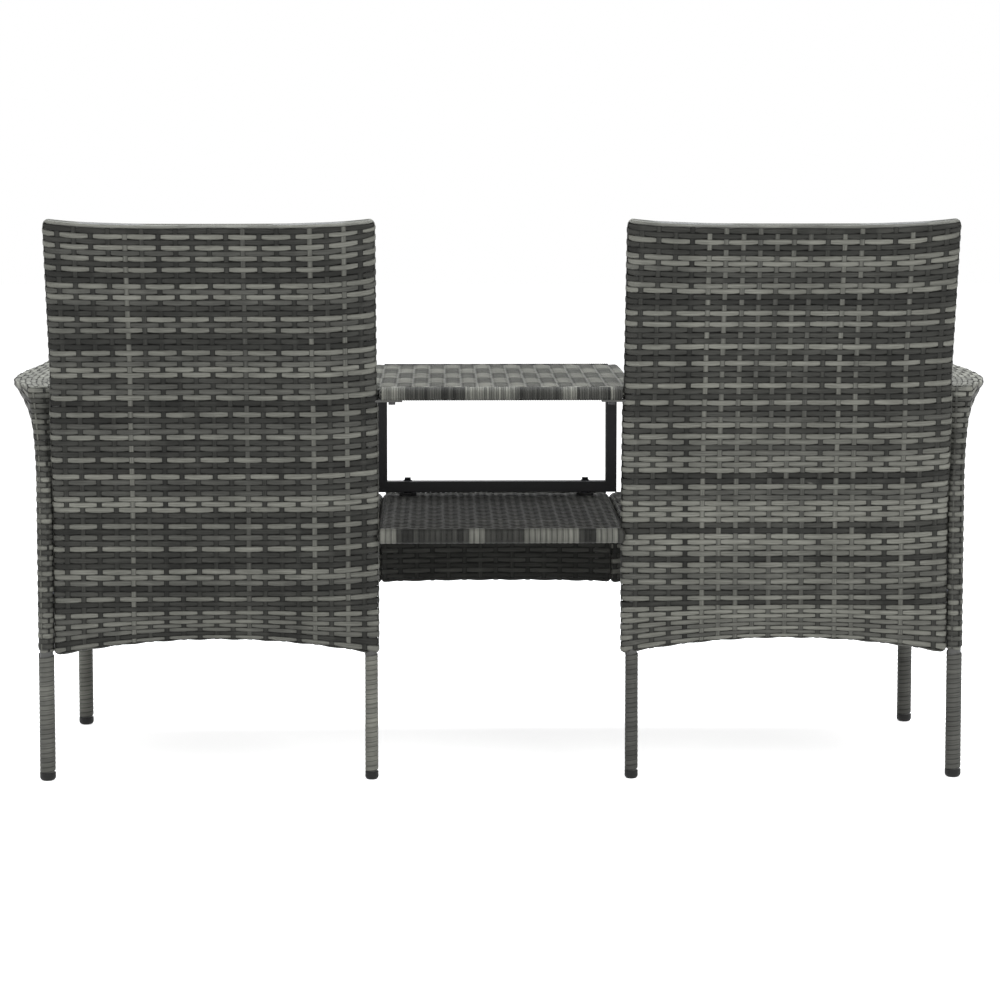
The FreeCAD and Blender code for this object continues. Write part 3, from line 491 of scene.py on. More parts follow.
def join(name: str, parts: list[Piece]) -> Piece:
    """Join meshes into one.

    Args:
        name: the new object's name.
        parts: the objects to join.

    Returns:
        The joined object.
    """
    deselect()
    for part in parts:
        part.select_set(True)
    bpy.context.view_layer.objects.active = parts[0]
    bpy.ops.object.join()
    parts[0].name = name
    parts[0].data.name = name
    return parts[0]


def settle(obj: Piece, places: Array, side: float) -> None:
    """Move flat strands to their places, close their rings and turn their faces outwards.

    Args:
        obj: the strands, still flat.
        places: where each point goes.
        side: minus one where the move turns the faces outwards by itself, plus one where not.
    """
    set_coordinates(obj, places)
    with editing(obj):
        bpy.ops.mesh.remove_doubles(threshold=2e-6)
        if side > 0:
            bpy.ops.mesh.flip_normals()
    bpy.ops.object.shade_smooth_by_angle(angle=SMOOTH_ANGLE)


def dress(obj: Piece, finish: Finish, body: Body, node: str) -> None:
    """Give a finished piece its material, its body and the node that it stands for.

    Args:
        obj: the piece.
        finish: its finish.
        body: the body that it rides on.
        node: the CAD node that it replaces.
    """
    obj.data.materials.clear()
    obj.data.materials.append(finish.material)
    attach(obj, body.value)
    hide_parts(node)
    LOG.info("%s: %d faces", obj.name, len(obj.data.polygons))


def dress_cane(obj: Piece, node: str) -> None:
    """Dress a woven or bound piece that stands for one node."""
    dress(obj, Finish.WOVEN_CANE, Body.BENCH, node)


# Cane strands -----------------------------------------------------------------


@dataclass(frozen=True)
class Strand:
    """A flat strand of cane: six-sided in section, thickest along its middle."""

    width: float = 0.0080
    thickness: float = 0.0012
    sides: int = 6

    def straight(self, name: str, length: float, cuts: int) -> Piece:
        """Model a closed straight strand along +X, its width along Z.

        Args:
            name: the object's name.
            length: its length.
            cuts: how many cuts divide it.

        Returns:
            The strand, starting at x = 0.
        """
        strand = self._bar(name, length, "NGON")
        bpy.ops.object.mode_set(mode="EDIT")
        mesh = bmesh.from_edit_mesh(strand.data)
        for edge in mesh.edges:
            ends = [vertex.co.x for vertex in edge.verts]
            edge.select_set(abs(ends[0] - ends[1]) > length * 0.5)
        bmesh.update_edit_mesh(strand.data)
        bpy.ops.mesh.subdivide(number_cuts=cuts)
        bpy.ops.object.mode_set(mode="OBJECT")
        return strand

    def beside(self, name: str, count: int, cuts: int) -> tuple[Piece, Array, Array, Array]:
        """Model strands of length one side by side, one unit apart.

        Args:
            name: the object's name.
            count: how many strands there are.
            cuts: how many cuts divide each.

        Returns:
            The strands, their points, and each point's strand and place across it.
        """
        strands = self.straight(name, 1.0, cuts)
        repeat(strands, count, (0.0, 0.0, 1.0))
        flat = coordinates(strands)
        number = np.rint(flat[:, 2]).astype(int)
        return strands, flat, number, flat[:, 2] - number

    def endless(self, name: str, step: float, steps: int) -> Piece:
        """Model an open-ended strand along +X from equal lengths, for bending into a ring.

        Args:
            name: the object's name.
            step: the length of one piece.
            steps: how many pieces there are.

        Returns:
            The strand, starting at x = 0.
        """
        strand = self._bar(name, step, "NOTHING")
        repeat(strand, steps, (step, 0.0, 0.0), merge=True)
        return strand

    def _bar(self, name: str, length: float, ends: str) -> Piece:
        """Make the flattened bar that strands start from.

        Args:
            name: the bar's name.
            length: its length along x.
            ends: how the cylinder's ends are filled.

        Returns:
            The bar, starting at x = 0.
        """
        deselect()
        bpy.ops.mesh.primitive_cylinder_add(
            vertices=self.sides, radius=1.0, depth=length, end_fill_type=ends,
            location=(length / 2, 0, 0), rotation=(0, QUARTER, 0))
        bar = bpy.context.object
        bar.name = name
        bpy.ops.object.transform_apply(location=True, rotation=True, scale=True)
        points = coordinates(bar)
        spread = points[:, 1:].max(axis=0)
        points[:, 1] *= self.thickness / 2 / spread[0]
        points[:, 2] *= self.width / 2 / spread[1]
        set_coordinates(bar, points)
        return bar


def mark_strands(obj: Piece, points: Array, number: Array, tone: Array, edge: float = 1.0) -> None:
    """Give a flat weave its map (length and width along each strand) and each point its marks.

    Each point gets its strand's tone, and how near it is to the strand's edge, which the material
    turns into painted shade.

    Args:
        obj: the mesh, still flat, with its strands along x.
        points: length and width for each vertex.
        number: the strand's number for each vertex, which moves its map clear of the others.
        tone: from 0, charcoal, to 1, light.
        edge: how strong the painted shade towards the strand's edges is.
    """
    layer = obj.data.uv_layers.new(name="strand")
    corners = np.empty(len(obj.data.loops), dtype=np.int32)
    obj.data.loops.foreach_get("vertex_index", corners)
    moved = points + number[:, None] * np.array(MAP_STEP)
    layer.data.foreach_set("uv", moved[corners].ravel())
    near = edge * np.abs(points[:, 1]) / np.abs(points[:, 1]).max()
    for name, values in (("tone", tone), ("edge", near)):
        attribute = obj.data.attributes.new(name, "FLOAT", "POINT")
        attribute.data.foreach_set("value", values.astype(np.float32))


class Surface:
    """A closed surface that strands are laid on.

    A place on it is (u, v): u counts stakes round the surface, v is the distance across the rows.
    """

    stakes: int
    height: float
    near: float = 2e-4
    small: float = 1e-3

    def point(self, u: Array, v: Array) -> Array:
        """Give the points at (u, v)."""
        raise NotImplementedError

    def slopes(self, u: Array, v: Array) -> tuple[Array, Array]:
        """Give the directions round the surface and across the rows."""
        return (self.point(u + self.small, v) - self.point(u - self.small, v),
                self.point(u, v + self.near / 2) - self.point(u, v - self.near / 2))

    def lay(self, u: Array, v: Array, lift: Array) -> tuple[Array, float]:
        """Place points over the surface.

        Args:
            u: place round the surface, in stakes.
            v: place across the rows.
            lift: height above the surface.

        Returns:
            The points, and plus or minus one for the way the surface turns.
        """
        v = np.clip(v, self.near, self.height - self.near)
        normal = np.cross(*self.slopes(u, v))
        normal /= np.maximum(np.linalg.norm(normal, axis=1, keepdims=True), 1e-12)
        turn = self.turn()
        return self.point(u, v) + normal * (lift * turn)[:, None], turn

    def turn(self) -> float:
        """Tell whether the cross product of the two directions points outwards.

        Returns:
            One where it does, minus one where it points inwards.
        """
        half = np.array([self.height / 2])
        here, there = np.array([0.5]), np.array([0.5 + self.stakes / 2])
        outwards = self.point(here, half) - self.point(there, half)
        return 1.0 if float(np.sum(np.cross(*self.slopes(here, half)) * outwards)) > 0 else -1.0

    def spacing(self) -> float:
        """Measure one stake's pitch in the middle of the first face.

        Returns:
            The pitch.
        """
        middle = np.array([self.height / 2])
        ends = self.point(np.array([2.0]), middle), self.point(np.array([3.0]), middle)
        return float(np.linalg.norm(ends[1] - ends[0]))


@dataclass(frozen=True)
class Batch:
    """Which greys a weaver draws strands from: the tones of its rows and stakes.

    Rows are dark, middle for `middle_share` of them, or light. `gaps` are the counts of darker rows
    that may lie from one light row to the next, and the middle ones thin out from the hem up by
    the share `thinning`. With `pairs`, a light and a dark strand are woven by turns and change
    places after that many rows, which gives checks. The `pale_rows` last rows and the stakes under
    them are pale, a painted highlight where an arm's top takes the light from above. The `rim_rows`
    last rows are lashed straight over the stakes, and the very last one has a tone from
    `rim_highlight`, a painted highlight on the rolled top edge. `stake_share` of the stakes are
    light. `edge` tells how strong the painted shade towards the strands' edges is.
    """

    dark: Pair = (0.0, 0.16)
    middle: Pair = (0.34, 0.5)
    middle_share: float = 0.3
    thinning: float = 0.0
    light: Pair = (0.82, 1.0)
    gaps: tuple[int, ...] = (2, 3, 3, 4, 4, 5)
    stake_dark: Pair = (0.02, 0.2)
    stake_light: Pair = (0.4, 0.8)
    stake_share: float = 0.3
    # the tone of the painted highlight on the rolled top edge
    rim_highlight: Pair = (0.6, 0.75)
    rim_rows: int = 0
    pale_rows: int = 0
    pale: Pair = (0.8, 1.0)
    pairs: int = 0
    edge: float = 1.0

    def rows(self, count: int, chance: np.random.Generator) -> Array:
        """Choose each row's tone.

        Args:
            count: the number of rows.
            chance: the seeded source of chance.

        Returns:
            One tone a row, from the hem up.
        """
        share = self.middle_share * np.linspace(1.0, 1.0 - self.thinning, count)
        tones = np.where(chance.random(count) < share, chance.uniform(*self.middle, count),
                         chance.uniform(*self.dark, count))
        row = int(chance.integers(0, 3))
        while self.gaps and row < count:
            tones[row] = chance.uniform(*self.light)
            row += int(chance.choice(self.gaps))
        if self.pairs:
            place = np.arange(count)
            light = chance.uniform(*self.light, count)
            tones = np.where((place + place // self.pairs) % 2, light, tones)
        # painted highlight: the last rows, an arm's top, are pale where they take the light from
        # above
        if self.pale_rows:
            tones[-self.pale_rows:] = chance.uniform(*self.pale, self.pale_rows)
        # painted highlight: the last row, on the rolled top edge, gets a steady lighter tone
        if self.rim_rows:
            tones[-1] = chance.uniform(*self.rim_highlight)
        return tones

    def stakes(self, count: int, chance: np.random.Generator) -> Array:
        """Choose each stake's tone, as for the rows.

        Args:
            count: how many stakes there are.
            chance: the weave's own random numbers.

        Returns:
            One tone per stake.
        """
        light = chance.random(count) < self.stake_share
        return np.where(light, chance.uniform(*self.stake_light, count),
                        chance.uniform(*self.stake_dark, count))


@dataclass
class Weaver:
    """Plain weave: each row of flat cane passes over one stake and under the next.

    Rows wave by `wave`, wander a little, and are pinched by the share `pinch` where they dive under
    a stake; pale rows have their own wave and pinch. `dive_shade` is painted shade: it darkens a
    row as it dives under a stake. Each visible bar differs from its row's tone by up to
    `bar_shade`, in pale rows by `pale_shade` times that. The stakes' cuts crowd towards their ends,
    where they bend most, by `easing`. On the strands' map a stake space is `map_pitch` long, and
    the stakes count from `first_stake`.
    """

    strand: Strand = Strand()
    stake: Strand = Strand(0.0074, 0.0012)
    pitch: float = 0.0085
    cover: float = 0.96
    wave: float = 0.0008
    pale_wave: float = 0.0006
    steps: int = 4
    stake_cuts: int = 51
    wander: float = 0.00035
    pinch: float = 0.34
    pale_pinch: float = 0.2
    dive_shade: float = 0.0
    bar_shade: float = 0.07
    pale_shade: float = 3.0
    easing: float = 0.6
    slip: float = 0.02
    map_pitch: float = 0.027
    first_stake: int = 1000
    core_depth: float = 0.0022
    core_cuts: int = 40

    def weave(self, name: str, surface: Surface, seed: int, batch: Batch = Batch()) -> Piece:
        """Weave one closed surface.

        Args:
            name: the piece's name.
            surface: what the strands are laid on.
            seed: the seed for tones and for how the strands wander.
            batch: the strands' greys, and how many last rows are lashed straight over the stakes.

        Returns:
            The woven piece.
        """
        chance = np.random.default_rng(seed)
        count = max(2, round(surface.height / self.pitch))
        rows = self.rows(f"{name}_rows", surface, count, batch, chance)
        stakes = self.stakes(f"{name}_stakes", surface, count, batch, chance)
        return join(name, [rows, stakes, self.core(f"{name}_core", surface)])

    def rows(self, name: str, surface: Surface, count: int, batch: Batch,
             chance: np.random.Generator) -> Piece:
        """Weave the rows.

        Args:
            name: the object's name.
            surface: what the strands are laid on.
            count: the number of rows.
            batch: the strands' greys.
            chance: the seeded source of chance.

        Returns:
            The rows in their places.
        """
        pitch = surface.height / count
        rows = self.strand.endless(name, 1.0 / self.steps, surface.stakes * self.steps)
        repeat(rows, count, (0.0, 0.0, pitch))
        flat = coordinates(rows)
        row = np.clip(np.rint(flat[:, 2] / pitch), 0, count - 1).astype(int)
        across = flat[:, 2] - row * pitch
        over = np.cos(math.pi * (flat[:, 0] + row))
        pale = row >= count - batch.pale_rows
        lashed = row >= count - batch.rim_rows

        tones = batch.rows(count, chance)
        bars = surface.stakes + 4
        bar = np.floor((flat[:, 0] + row) / 2).astype(int) % bars
        shades = chance.uniform(-self.bar_shade, self.bar_shade, (count, bars))
        shades[count - batch.pale_rows:] *= self.pale_shade
        # painted shade: a row grows darker where it dives under a stake
        dive = self.dive_shade * np.minimum(0.0, over - 0.5)
        mark_strands(rows, np.column_stack([flat[:, 0] * self.map_pitch, across]), row,
                     np.clip(tones[row] + dive + shades[row, bar], 0, 1), batch.edge)

        phase = chance.uniform(0, 2 * math.pi, (2, count))[:, row]
        turn = flat[:, 0] * 2 * math.pi / surface.stakes
        sway = self.wander * (np.sin(3 * turn + phase[0]) + 0.6 * np.sin(7 * turn + phase[1]))
        wave = np.where(pale, self.pale_wave, self.wave) * np.where(lashed, 1.0, over)
        under = np.where(lashed, 0.0, np.maximum(0.0, -over) ** 3)
        pinch = np.where(pale, self.pale_pinch, self.pinch) * under
        narrow = min(1.0, self.cover * pitch / self.strand.width) * (1 - pinch)
        places, side = surface.lay(flat[:, 0], (row + 0.5) * pitch + across * narrow + sway,
                                   wave + flat[:, 1])
        settle(rows, places, side)
        return rows

    def stakes(self, name: str, surface: Surface, count: int, batch: Batch,
               chance: np.random.Generator) -> Piece:
        """Set the stakes that the rows pass over and under.

        Args:
            name: the object's name.
            surface: what the strands are laid on.
            count: the number of rows.
            batch: the strands' greys.
            chance: the seeded source of chance.

        Returns:
            The stakes in their places.
        """
        stakes, flat, stake, across = self.stake.beside(name, surface.stakes, self.stake_cuts)
        pale = flat[:, 0] > 1 - batch.pale_rows / count
        tones = batch.stakes(surface.stakes, chance)[stake]
        # painted highlight: the stakes under the pale top rows are pale too
        tones = np.where(pale, sum(batch.pale) / 2, tones)
        mark_strands(stakes, np.column_stack([flat[:, 0] * surface.height, across]),
                     stake + self.first_stake, tones, batch.edge)
        eased = flat[:, 0] - self.easing * np.sin(2 * math.pi * flat[:, 0]) / (2 * math.pi)
        slip = chance.uniform(-self.slip, self.slip, surface.stakes)[stake]
        places, side = surface.lay(stake + slip + across / surface.spacing(),
                                   eased * surface.height, flat[:, 1])
        settle(stakes, places, side)
        return stakes

    def core(self, name: str, surface: Surface) -> Piece:
        """Model a dark shell under the strands, painted shade for the shaded inside of the weave,
        which keeps daylight from showing through its gaps.

        Args:
            name: the object's name.
            surface: what the strands are laid on.

        Returns:
            A closed shell a little under the strands.
        """
        deselect()
        # painted shade: the shell carries no tone, so it takes the darkest cane grey
        bpy.ops.mesh.primitive_grid_add(x_subdivisions=surface.stakes * 2,
                                        y_subdivisions=self.core_cuts, size=1.0)
        core = bpy.context.object
        core.name = name
        flat = coordinates(core) + 0.5
        places, _ = surface.lay(flat[:, 0] * surface.stakes, flat[:, 1] * surface.height,
                                np.full(len(flat), -self.core_depth))
        set_coordinates(core, places)
        with editing(core):
            bpy.ops.mesh.remove_doubles(threshold=6e-4)
            bpy.ops.mesh.normals_make_consistent(inside=False)
        return core


def smooth(share: Array) -> Array:
    """Ease a share from 0 to 1 in and out."""
    return share * share * (3 - 2 * share)


def even(half: float) -> Width:
    """Give a slab the same half width all along."""
    return lambda along: np.full_like(along, half)


def loop_shares(u: Array, face: int, end: int) -> tuple[Array, Array]:
    """Split a place round a slab into its four parts: face, end, other face, other end.

    Args:
        u: place in stakes.
        face: stake spaces across a face.
        end: stake spaces round an end.

    Returns:
        The part's number from 0 to 3, and the share of the way along it.
    """
    total = 2 * (face + end)
    place = np.mod(u, total)
    marks = np.array([0, face, face + end, 2 * face + end, total], dtype=float)
    part = np.clip(np.searchsorted(marks, place, side="right") - 1, 0, 3)
    return part, (place - marks[part]) / (marks[part + 1] - marks[part])


@dataclass
class Slab(Surface):
    """A flat slab woven round: two faces, two half-round ends, and rolled first and last rows.

    The rows end flush with `length` and `thick`. `half` gives half the distance between the end
    rounds at each place along the slab, `square` makes the ends boxier as it falls below one, and
    `margin` is how far in from the round the last stakes of each face stand.
    """

    length: float
    thick: float
    half: Width
    face: int
    end: int
    place: Place
    square: float = 1.0
    margin: float = 0.0

    def __post_init__(self) -> None:
        """Work out the stakes, and the surface under the rows: its radius, run and height."""
        thick = self.thick - 2 * ROW_LIFT
        self.radius = thick / 2
        self.run = self.length - 2 * ROW_LIFT - thick
        self.stakes = 2 * (self.face + self.end)
        self.height = self.run + math.pi * self.radius

    def point(self, u: Array, v: Array) -> Array:
        """Give the points at (u, v).

        Args:
            u: place round the slab, in stakes.
            v: place over the slab's length.

        Returns:
            The points in the bench's frame.
        """
        start = np.clip(v / self.radius, 0, QUARTER)
        stop = np.clip((self.height - v) / self.radius, 0, QUARTER)
        radius = self.radius * np.minimum(np.sin(start), np.sin(stop))
        along = np.clip(v - QUARTER * self.radius, 0, self.run) \
            + self.radius * (1 - np.cos(start)) + self.radius * np.cos(stop)
        part, share = loop_shares(u, self.face, self.end)
        flat = self.half(along) - self.margin
        turned = math.pi * self.radius
        go = share * (2 * self.margin + turned)
        angle = np.clip((go - self.margin) / self.radius, 0, math.pi)
        edge = flat + np.clip(go, 0, self.margin) \
            - np.clip(go - self.margin - turned, 0, self.margin)
        bulge = radius * np.abs(np.sin(angle)) ** self.square
        rise = radius * np.sign(np.cos(angle)) * np.abs(np.cos(angle)) ** self.square
        across = np.choose(part, [flat * (2 * share - 1), edge + bulge,
                                  flat * (1 - 2 * share), -edge - bulge])
        out = np.choose(part, [radius, rise, -radius, -rise])
        return self.place(across, out, along)


# The bench's woven parts ------------------------------------------------------


@dataclass
class BackPanels:
    """The two tall bowed backs: bent twice in side view, arched hem, dipped crown."""

    middles: Pair = (0.4235, 0.4210)
    widths: Pair = (0.480, 0.485)
    thick: float = 0.021
    bottom: float = 0.1865
    top: float = 0.840
    base_y: float = 0.180
    bends: tuple[Pair, ...] = ((0.410, 9.5), (0.620, 16.0))
    bend_radius: float = 0.300
    hem_arch: float = 0.024
    hem_fade: float = 0.100
    crown_dip: float = 0.0085
    crown_fade: float = 0.170
    stakes_across: int = 18
    stakes_round: int = 2
    snug: float = 0.002
    snug_top: float = 0.600
    snug_fade: float = 0.05
    stake_margin: float = 0.0115
    slants: Pair = (0.007, 0.005)
    slant_reach: float = 0.11
    batches: tuple[Batch, Batch] = (
        Batch(rim_rows=1, dark=(0.05, 0.2), middle=(0.35, 0.6), middle_share=0.36, thinning=0.5,
              light=(0.75, 1.0), gaps=(1, 2, 3, 3, 4, 4)),
        Batch(rim_rows=1, dark=(0.08, 0.25), middle=(0.5, 0.85), middle_share=0.6, thinning=0.8,
              light=(0.85, 1.0), gaps=(1, 2, 3, 3, 4), stake_share=0.35))

    def __post_init__(self) -> None:
        """Integrate the back's side profile once, as a table of height, depth and slope."""
        heights, leans, lean = [self.bottom - 0.05], [0.0], 0.0
        for z, degrees in self.bends:
            turn = math.radians(degrees) - lean
            reach = self.bend_radius * math.tan(turn / 2)
            heights += [z - reach * math.cos(lean), z + reach * math.cos(lean + turn)]
            leans += [math.sin(lean), math.sin(lean + turn)]
            lean += turn
        heights.append(self.top + 0.05)
        leans.append(math.sin(lean))
        self._z = np.linspace(heights[0], heights[-1], 900)
        self._sine = np.interp(self._z, heights, leans)
        slope = self._sine / np.sqrt(1 - self._sine ** 2)
        steps = (slope[1:] + slope[:-1]) / 2 * np.diff(self._z)
        self._y = self.base_y + np.concatenate([[0.0], np.cumsum(steps)])

    def place(self, side: Side, middle: float, width: float, slant: float) -> Place:
        """Make the function that bends a flat slab into one back.

        Args:
            side: which back.
            middle: how far its middle is from the bench's.
            width: its width.
            slant: how far the rows climb towards the edge nearer to -X, as the weaver pulled them.

        Returns:
            A function of across, out and along.
        """
        half = width / 2

        def bent(across: Array, out: Array, along: Array) -> Array:
            """Let the rows climb at one edge, arch the hem, dip the crown, and lean it back.

            Args:
                across: place across the back.
                out: place through its thickness.
                along: place up the back.

            Returns:
                The points in the bench's frame.
            """
            edge = np.clip(np.abs(across) / half, 0, 1)
            total = self.top - self.bottom - 2 * ROW_LIFT
            near = np.clip(1 - (half + side.sign * across) / self.slant_reach, 0, 1) ** 2
            way = np.clip(np.minimum(along, total - along) / (4 * slant), 0, 1)
            along = along + slant * near * smooth(way)
            hem = self.hem_arch * (1 - edge ** 2) * np.clip(1 - along / self.hem_fade, 0, 1) ** 1.5
            left = np.clip(1 - (total - along) / self.crown_fade, 0, 1)
            dip = self.crown_dip * (1 - edge ** 4) * left ** 1.3
            z = self.bottom + ROW_LIFT + along + hem - dip
            sine = np.interp(z, self._z, self._sine)
            cosine = np.sqrt(1 - sine ** 2)
            y = np.interp(z, self._z, self._y) + out * cosine
            return np.column_stack([side.sign * (middle + across), y, z - out * sine])

        return bent

    def build(self, weaver: Weaver) -> None:
        """Weave both backs.

        Args:
            weaver: the weaver to use.
        """
        sizes = zip(Side, self.batches, self.middles, self.widths, self.slants)
        for seed, (side, batch, middle, width, slant) in enumerate(sizes, start=11):
            reach = width / 2 - self.thick / 2

            def half(along: Array, reach: float = reach) -> Array:
                """Let the weave press against the arm's side below the arm."""
                below = np.clip((self.snug_top - self.bottom - along) / self.snug_fade, 0, 1)
                return reach + self.snug * below

            slab = Slab(self.top - self.bottom, self.thick, half,
                        self.stakes_across, self.stakes_round,
                        self.place(side, middle, width, slant), margin=self.stake_margin)
            panel = weaver.weave(f"back_cane_{side.value}", slab, seed, batch)
            dress_cane(panel, f"back_weave_{side.value}")


def walk(go: Array, *lengths: Array | float) -> list[Array]:
    """Split a distance along a path into what falls on each of its stretches.

    Args:
        go: the distance gone.
        lengths: the stretches' lengths, in order.

    Returns:
        The distance on each stretch, and last what is left over.
    """
    parts = []
    for length in lengths:
        parts.append(np.clip(go, 0, length))
        go = go - length
    return [*parts, np.maximum(go, 0)]


@dataclass
class ArmSurface(Surface):
    """One side: plain below, flaring out above into a flat arm with a rounded edge."""

    sign: float
    rear: float = 0.180
    front: float = -0.255
    half: float = 0.0125
    hem: float = 0.188
    flare_from: float = 0.445
    arm_top: float = 0.591
    arm_rise: float = 0.008
    edge: float = 0.005
    inner_edge: float = 0.006
    end_fade: float = 0.046
    line: float = 0.677
    line_in: float = 0.007
    shares: tuple[float, ...] = (0.0, 0.3, 0.64, 1.0)
    outsets: tuple[float, ...] = (0.024, 0.064, 0.063, 0.057)
    face: int = 16
    end: int = 3

    def __post_init__(self) -> None:
        """Fit the arm's outset along the side, and measure what is the same all along it."""
        self.stakes = 2 * (self.face + self.end)
        self.outset = np.poly1d(np.polyfit(self.shares, self.outsets, 3))
        self.core = self.half - ROW_LIFT
        self.low = self.hem + ROW_LIFT
        self.upright = self.flare_from - self.low - self.core
        self.height = self._outer_length(np.array([0.5]))[0]

    def _top(self, share: Array) -> Array:
        """Give the arm's height at a share of the side's length."""
        return self.arm_top + self.arm_rise * share - ROW_LIFT

    def _flare(self, share: Array) -> tuple[Array, Array, Array]:
        """Give the flare's radius and angle, and half the arm's width, at a share of the length.

        Args:
            share: place along the side, from 0 to 1.

        Returns:
            The radius, the angle and half the width.
        """
        out = self.outset(share) - ROW_LIFT - self.core
        rise = self._top(share) - self.edge - self.flare_from
        radius = (out ** 2 + rise ** 2) / (2 * out)
        return radius, np.arcsin(np.clip(rise / radius, -1, 1)), out / 2

    def _outer_length(self, share: Array) -> Array:
        """Add up the outer profile from the hem's middle to the arm's middle.

        Args:
            share: place along the side, from 0 to 1.

        Returns:
            The profile's length.
        """
        radius, sweep, middle = self._flare(share)
        flat = np.maximum(middle + self.core - self.edge, 0.0)
        return QUARTER * (self.core + self.edge) + self.upright + radius * sweep + flat

    def _outer(self, share: Array, part: Array) -> tuple[Array, Array]:
        """Follow the outer profile to a part of its length.

        Args:
            share: place along the side, from 0 to 1.
            part: part of the profile's length, from 0 to 1.

        Returns:
            The distance outwards and the height.
        """
        radius, sweep, _ = self._flare(share)
        roll, upright, swing, rounded, inwards = walk(
            part * self._outer_length(share),
            QUARTER * self.core, self.upright, radius * sweep, QUARTER * self.edge)
        roll, swing, rounded = roll / self.core, swing / radius, rounded / self.edge
        across = self.core * np.sin(roll) + radius * (1 - np.cos(swing)) \
            - self.edge * (1 - np.cos(rounded)) - inwards
        height = self.low + self.core * (1 - np.cos(roll)) + upright + radius * np.sin(swing) \
            + self.edge * np.sin(rounded)
        return across, height

    def _inner(self, share: Array, part: Array) -> tuple[Array, Array]:
        """Follow the inner profile to a part of its length.

        Args:
            share: place along the side, from 0 to 1.
            part: part of the profile's length, from 0 to 1.

        Returns:
            The distance outwards and the height.
        """
        wall = self._top(share) - self.inner_edge - self.low - self.core
        middle = self._flare(share)[2]
        total = QUARTER * (self.core + self.inner_edge) + wall \
            + middle + self.core - self.inner_edge
        roll, upright, rounded, outwards = walk(
            part * total, QUARTER * self.core, wall, QUARTER * self.inner_edge)
        roll, rounded = roll / self.core, rounded / self.inner_edge
        across = -self.core * np.sin(roll) + self.inner_edge * (1 - np.cos(rounded)) + outwards
        height = self.low + self.core * (1 - np.cos(roll)) + upright \
            + self.inner_edge * np.sin(rounded)
        return across, height

    def point(self, u: Array, v: Array) -> Array:
        """Give the points at (u, v).

        Args:
            u: place round the side, in stakes.
            v: place from the hem up to the arm's middle.

        Returns:
            The points in the bench's frame.
        """
        part, way = loop_shares(u, self.face, self.end)
        share = np.choose(part, [way, np.ones_like(way), 1 - way, np.zeros_like(way)])
        height = v / self.height
        outer, outer_z = self._outer(share, height)
        inner, inner_z = self._inner(share, height)
        blend = np.choose(part, [np.ones_like(way), 0.5 + 0.5 * np.cos(way * math.pi),
                                 np.zeros_like(way), 0.5 - 0.5 * np.cos(way * math.pi)])
        wide = np.clip((outer - inner) / (2 * self.half), 1, 4)
        bulge = np.where(part % 2 == 1, np.sin(way * math.pi), 0.0) ** (1 / wide)
        left = np.clip(1 - (1 - height) * self.height / self.end_fade, 0, 1) * QUARTER
        depth = self.core * np.cos(left) * np.sin(np.clip(v / self.core, 0, QUARTER))
        z = outer_z * blend + inner_z * (1 - blend)
        sunk = np.minimum(z, self._top(share) - self.core + self.core * np.sin(left))
        z = np.where(left > 0, z + (sunk - z) * bulge, z)
        across = outer * blend + inner * (1 - blend)
        y = self.rear + (self.front - self.rear) * share
        y = y + np.where(part == 1, -bulge * depth, np.where(part == 3, bulge * depth, 0.0))
        line = self.line - self.line_in * share
        return np.column_stack([self.sign * (line + across), y, z])


@dataclass
class ArmSides:
    """The two woven sides with their arms, whose top rows are pale: a painted highlight where the
    arms' tops take the light from above.
    """

    batch: Batch = Batch(pale_rows=4, dark=(0.25, 0.48), middle=(0.5, 0.7), light=(0.75, 1.0))

    def build(self, weaver: Weaver) -> None:
        """Weave both sides.

        Args:
            weaver: the weaver to use.
        """
        for seed, side in enumerate(Side, start=31):
            piece = weaver.weave(f"side_cane_{side.value}", ArmSurface(side.sign), seed, self.batch)
            dress_cane(piece, f"side_weave_{side.value}")


@dataclass
class EdgeRoll(Surface):
    """The half-round edge of a lying slab, for the strands that are bound over it.

    The edge is `half` long to each side of x `middle`, its outermost line is at y `edge` and its
    middle at z `level`. `facing` is plus one at the rear and minus one at the front. The binding
    goes in by `flat` over each face, and `stakes` strands lie side by side.
    """

    half: float
    edge: float
    level: float
    radius: float
    facing: float
    middle: float
    stakes: int
    flat: float = 0.004

    def __post_init__(self) -> None:
        """Work out the distance over the edge."""
        self.height = math.pi * self.radius + 2 * self.flat

    def turn(self) -> float:
        """Tell which way the surface turns."""
        return 1.0 if self.facing < 0 else -1.0

    def point(self, u: Array, v: Array) -> Array:
        """Give the points at (u, v).

        Args:
            u: place along the edge, in strands.
            v: place over the edge, from under to over.

        Returns:
            The points in the bench's frame.
        """
        x = self.middle - self.half + (u + 0.5) * 2 * self.half / self.stakes
        way = v - self.height / 2
        angle = np.clip(way / self.radius, -QUARTER, QUARTER)
        past = np.abs(way) - np.abs(angle) * self.radius
        y = self.edge - self.facing * (self.radius * (1 - np.cos(angle)) + past)
        return np.column_stack([x, y, self.level + self.radius * np.sin(angle)])


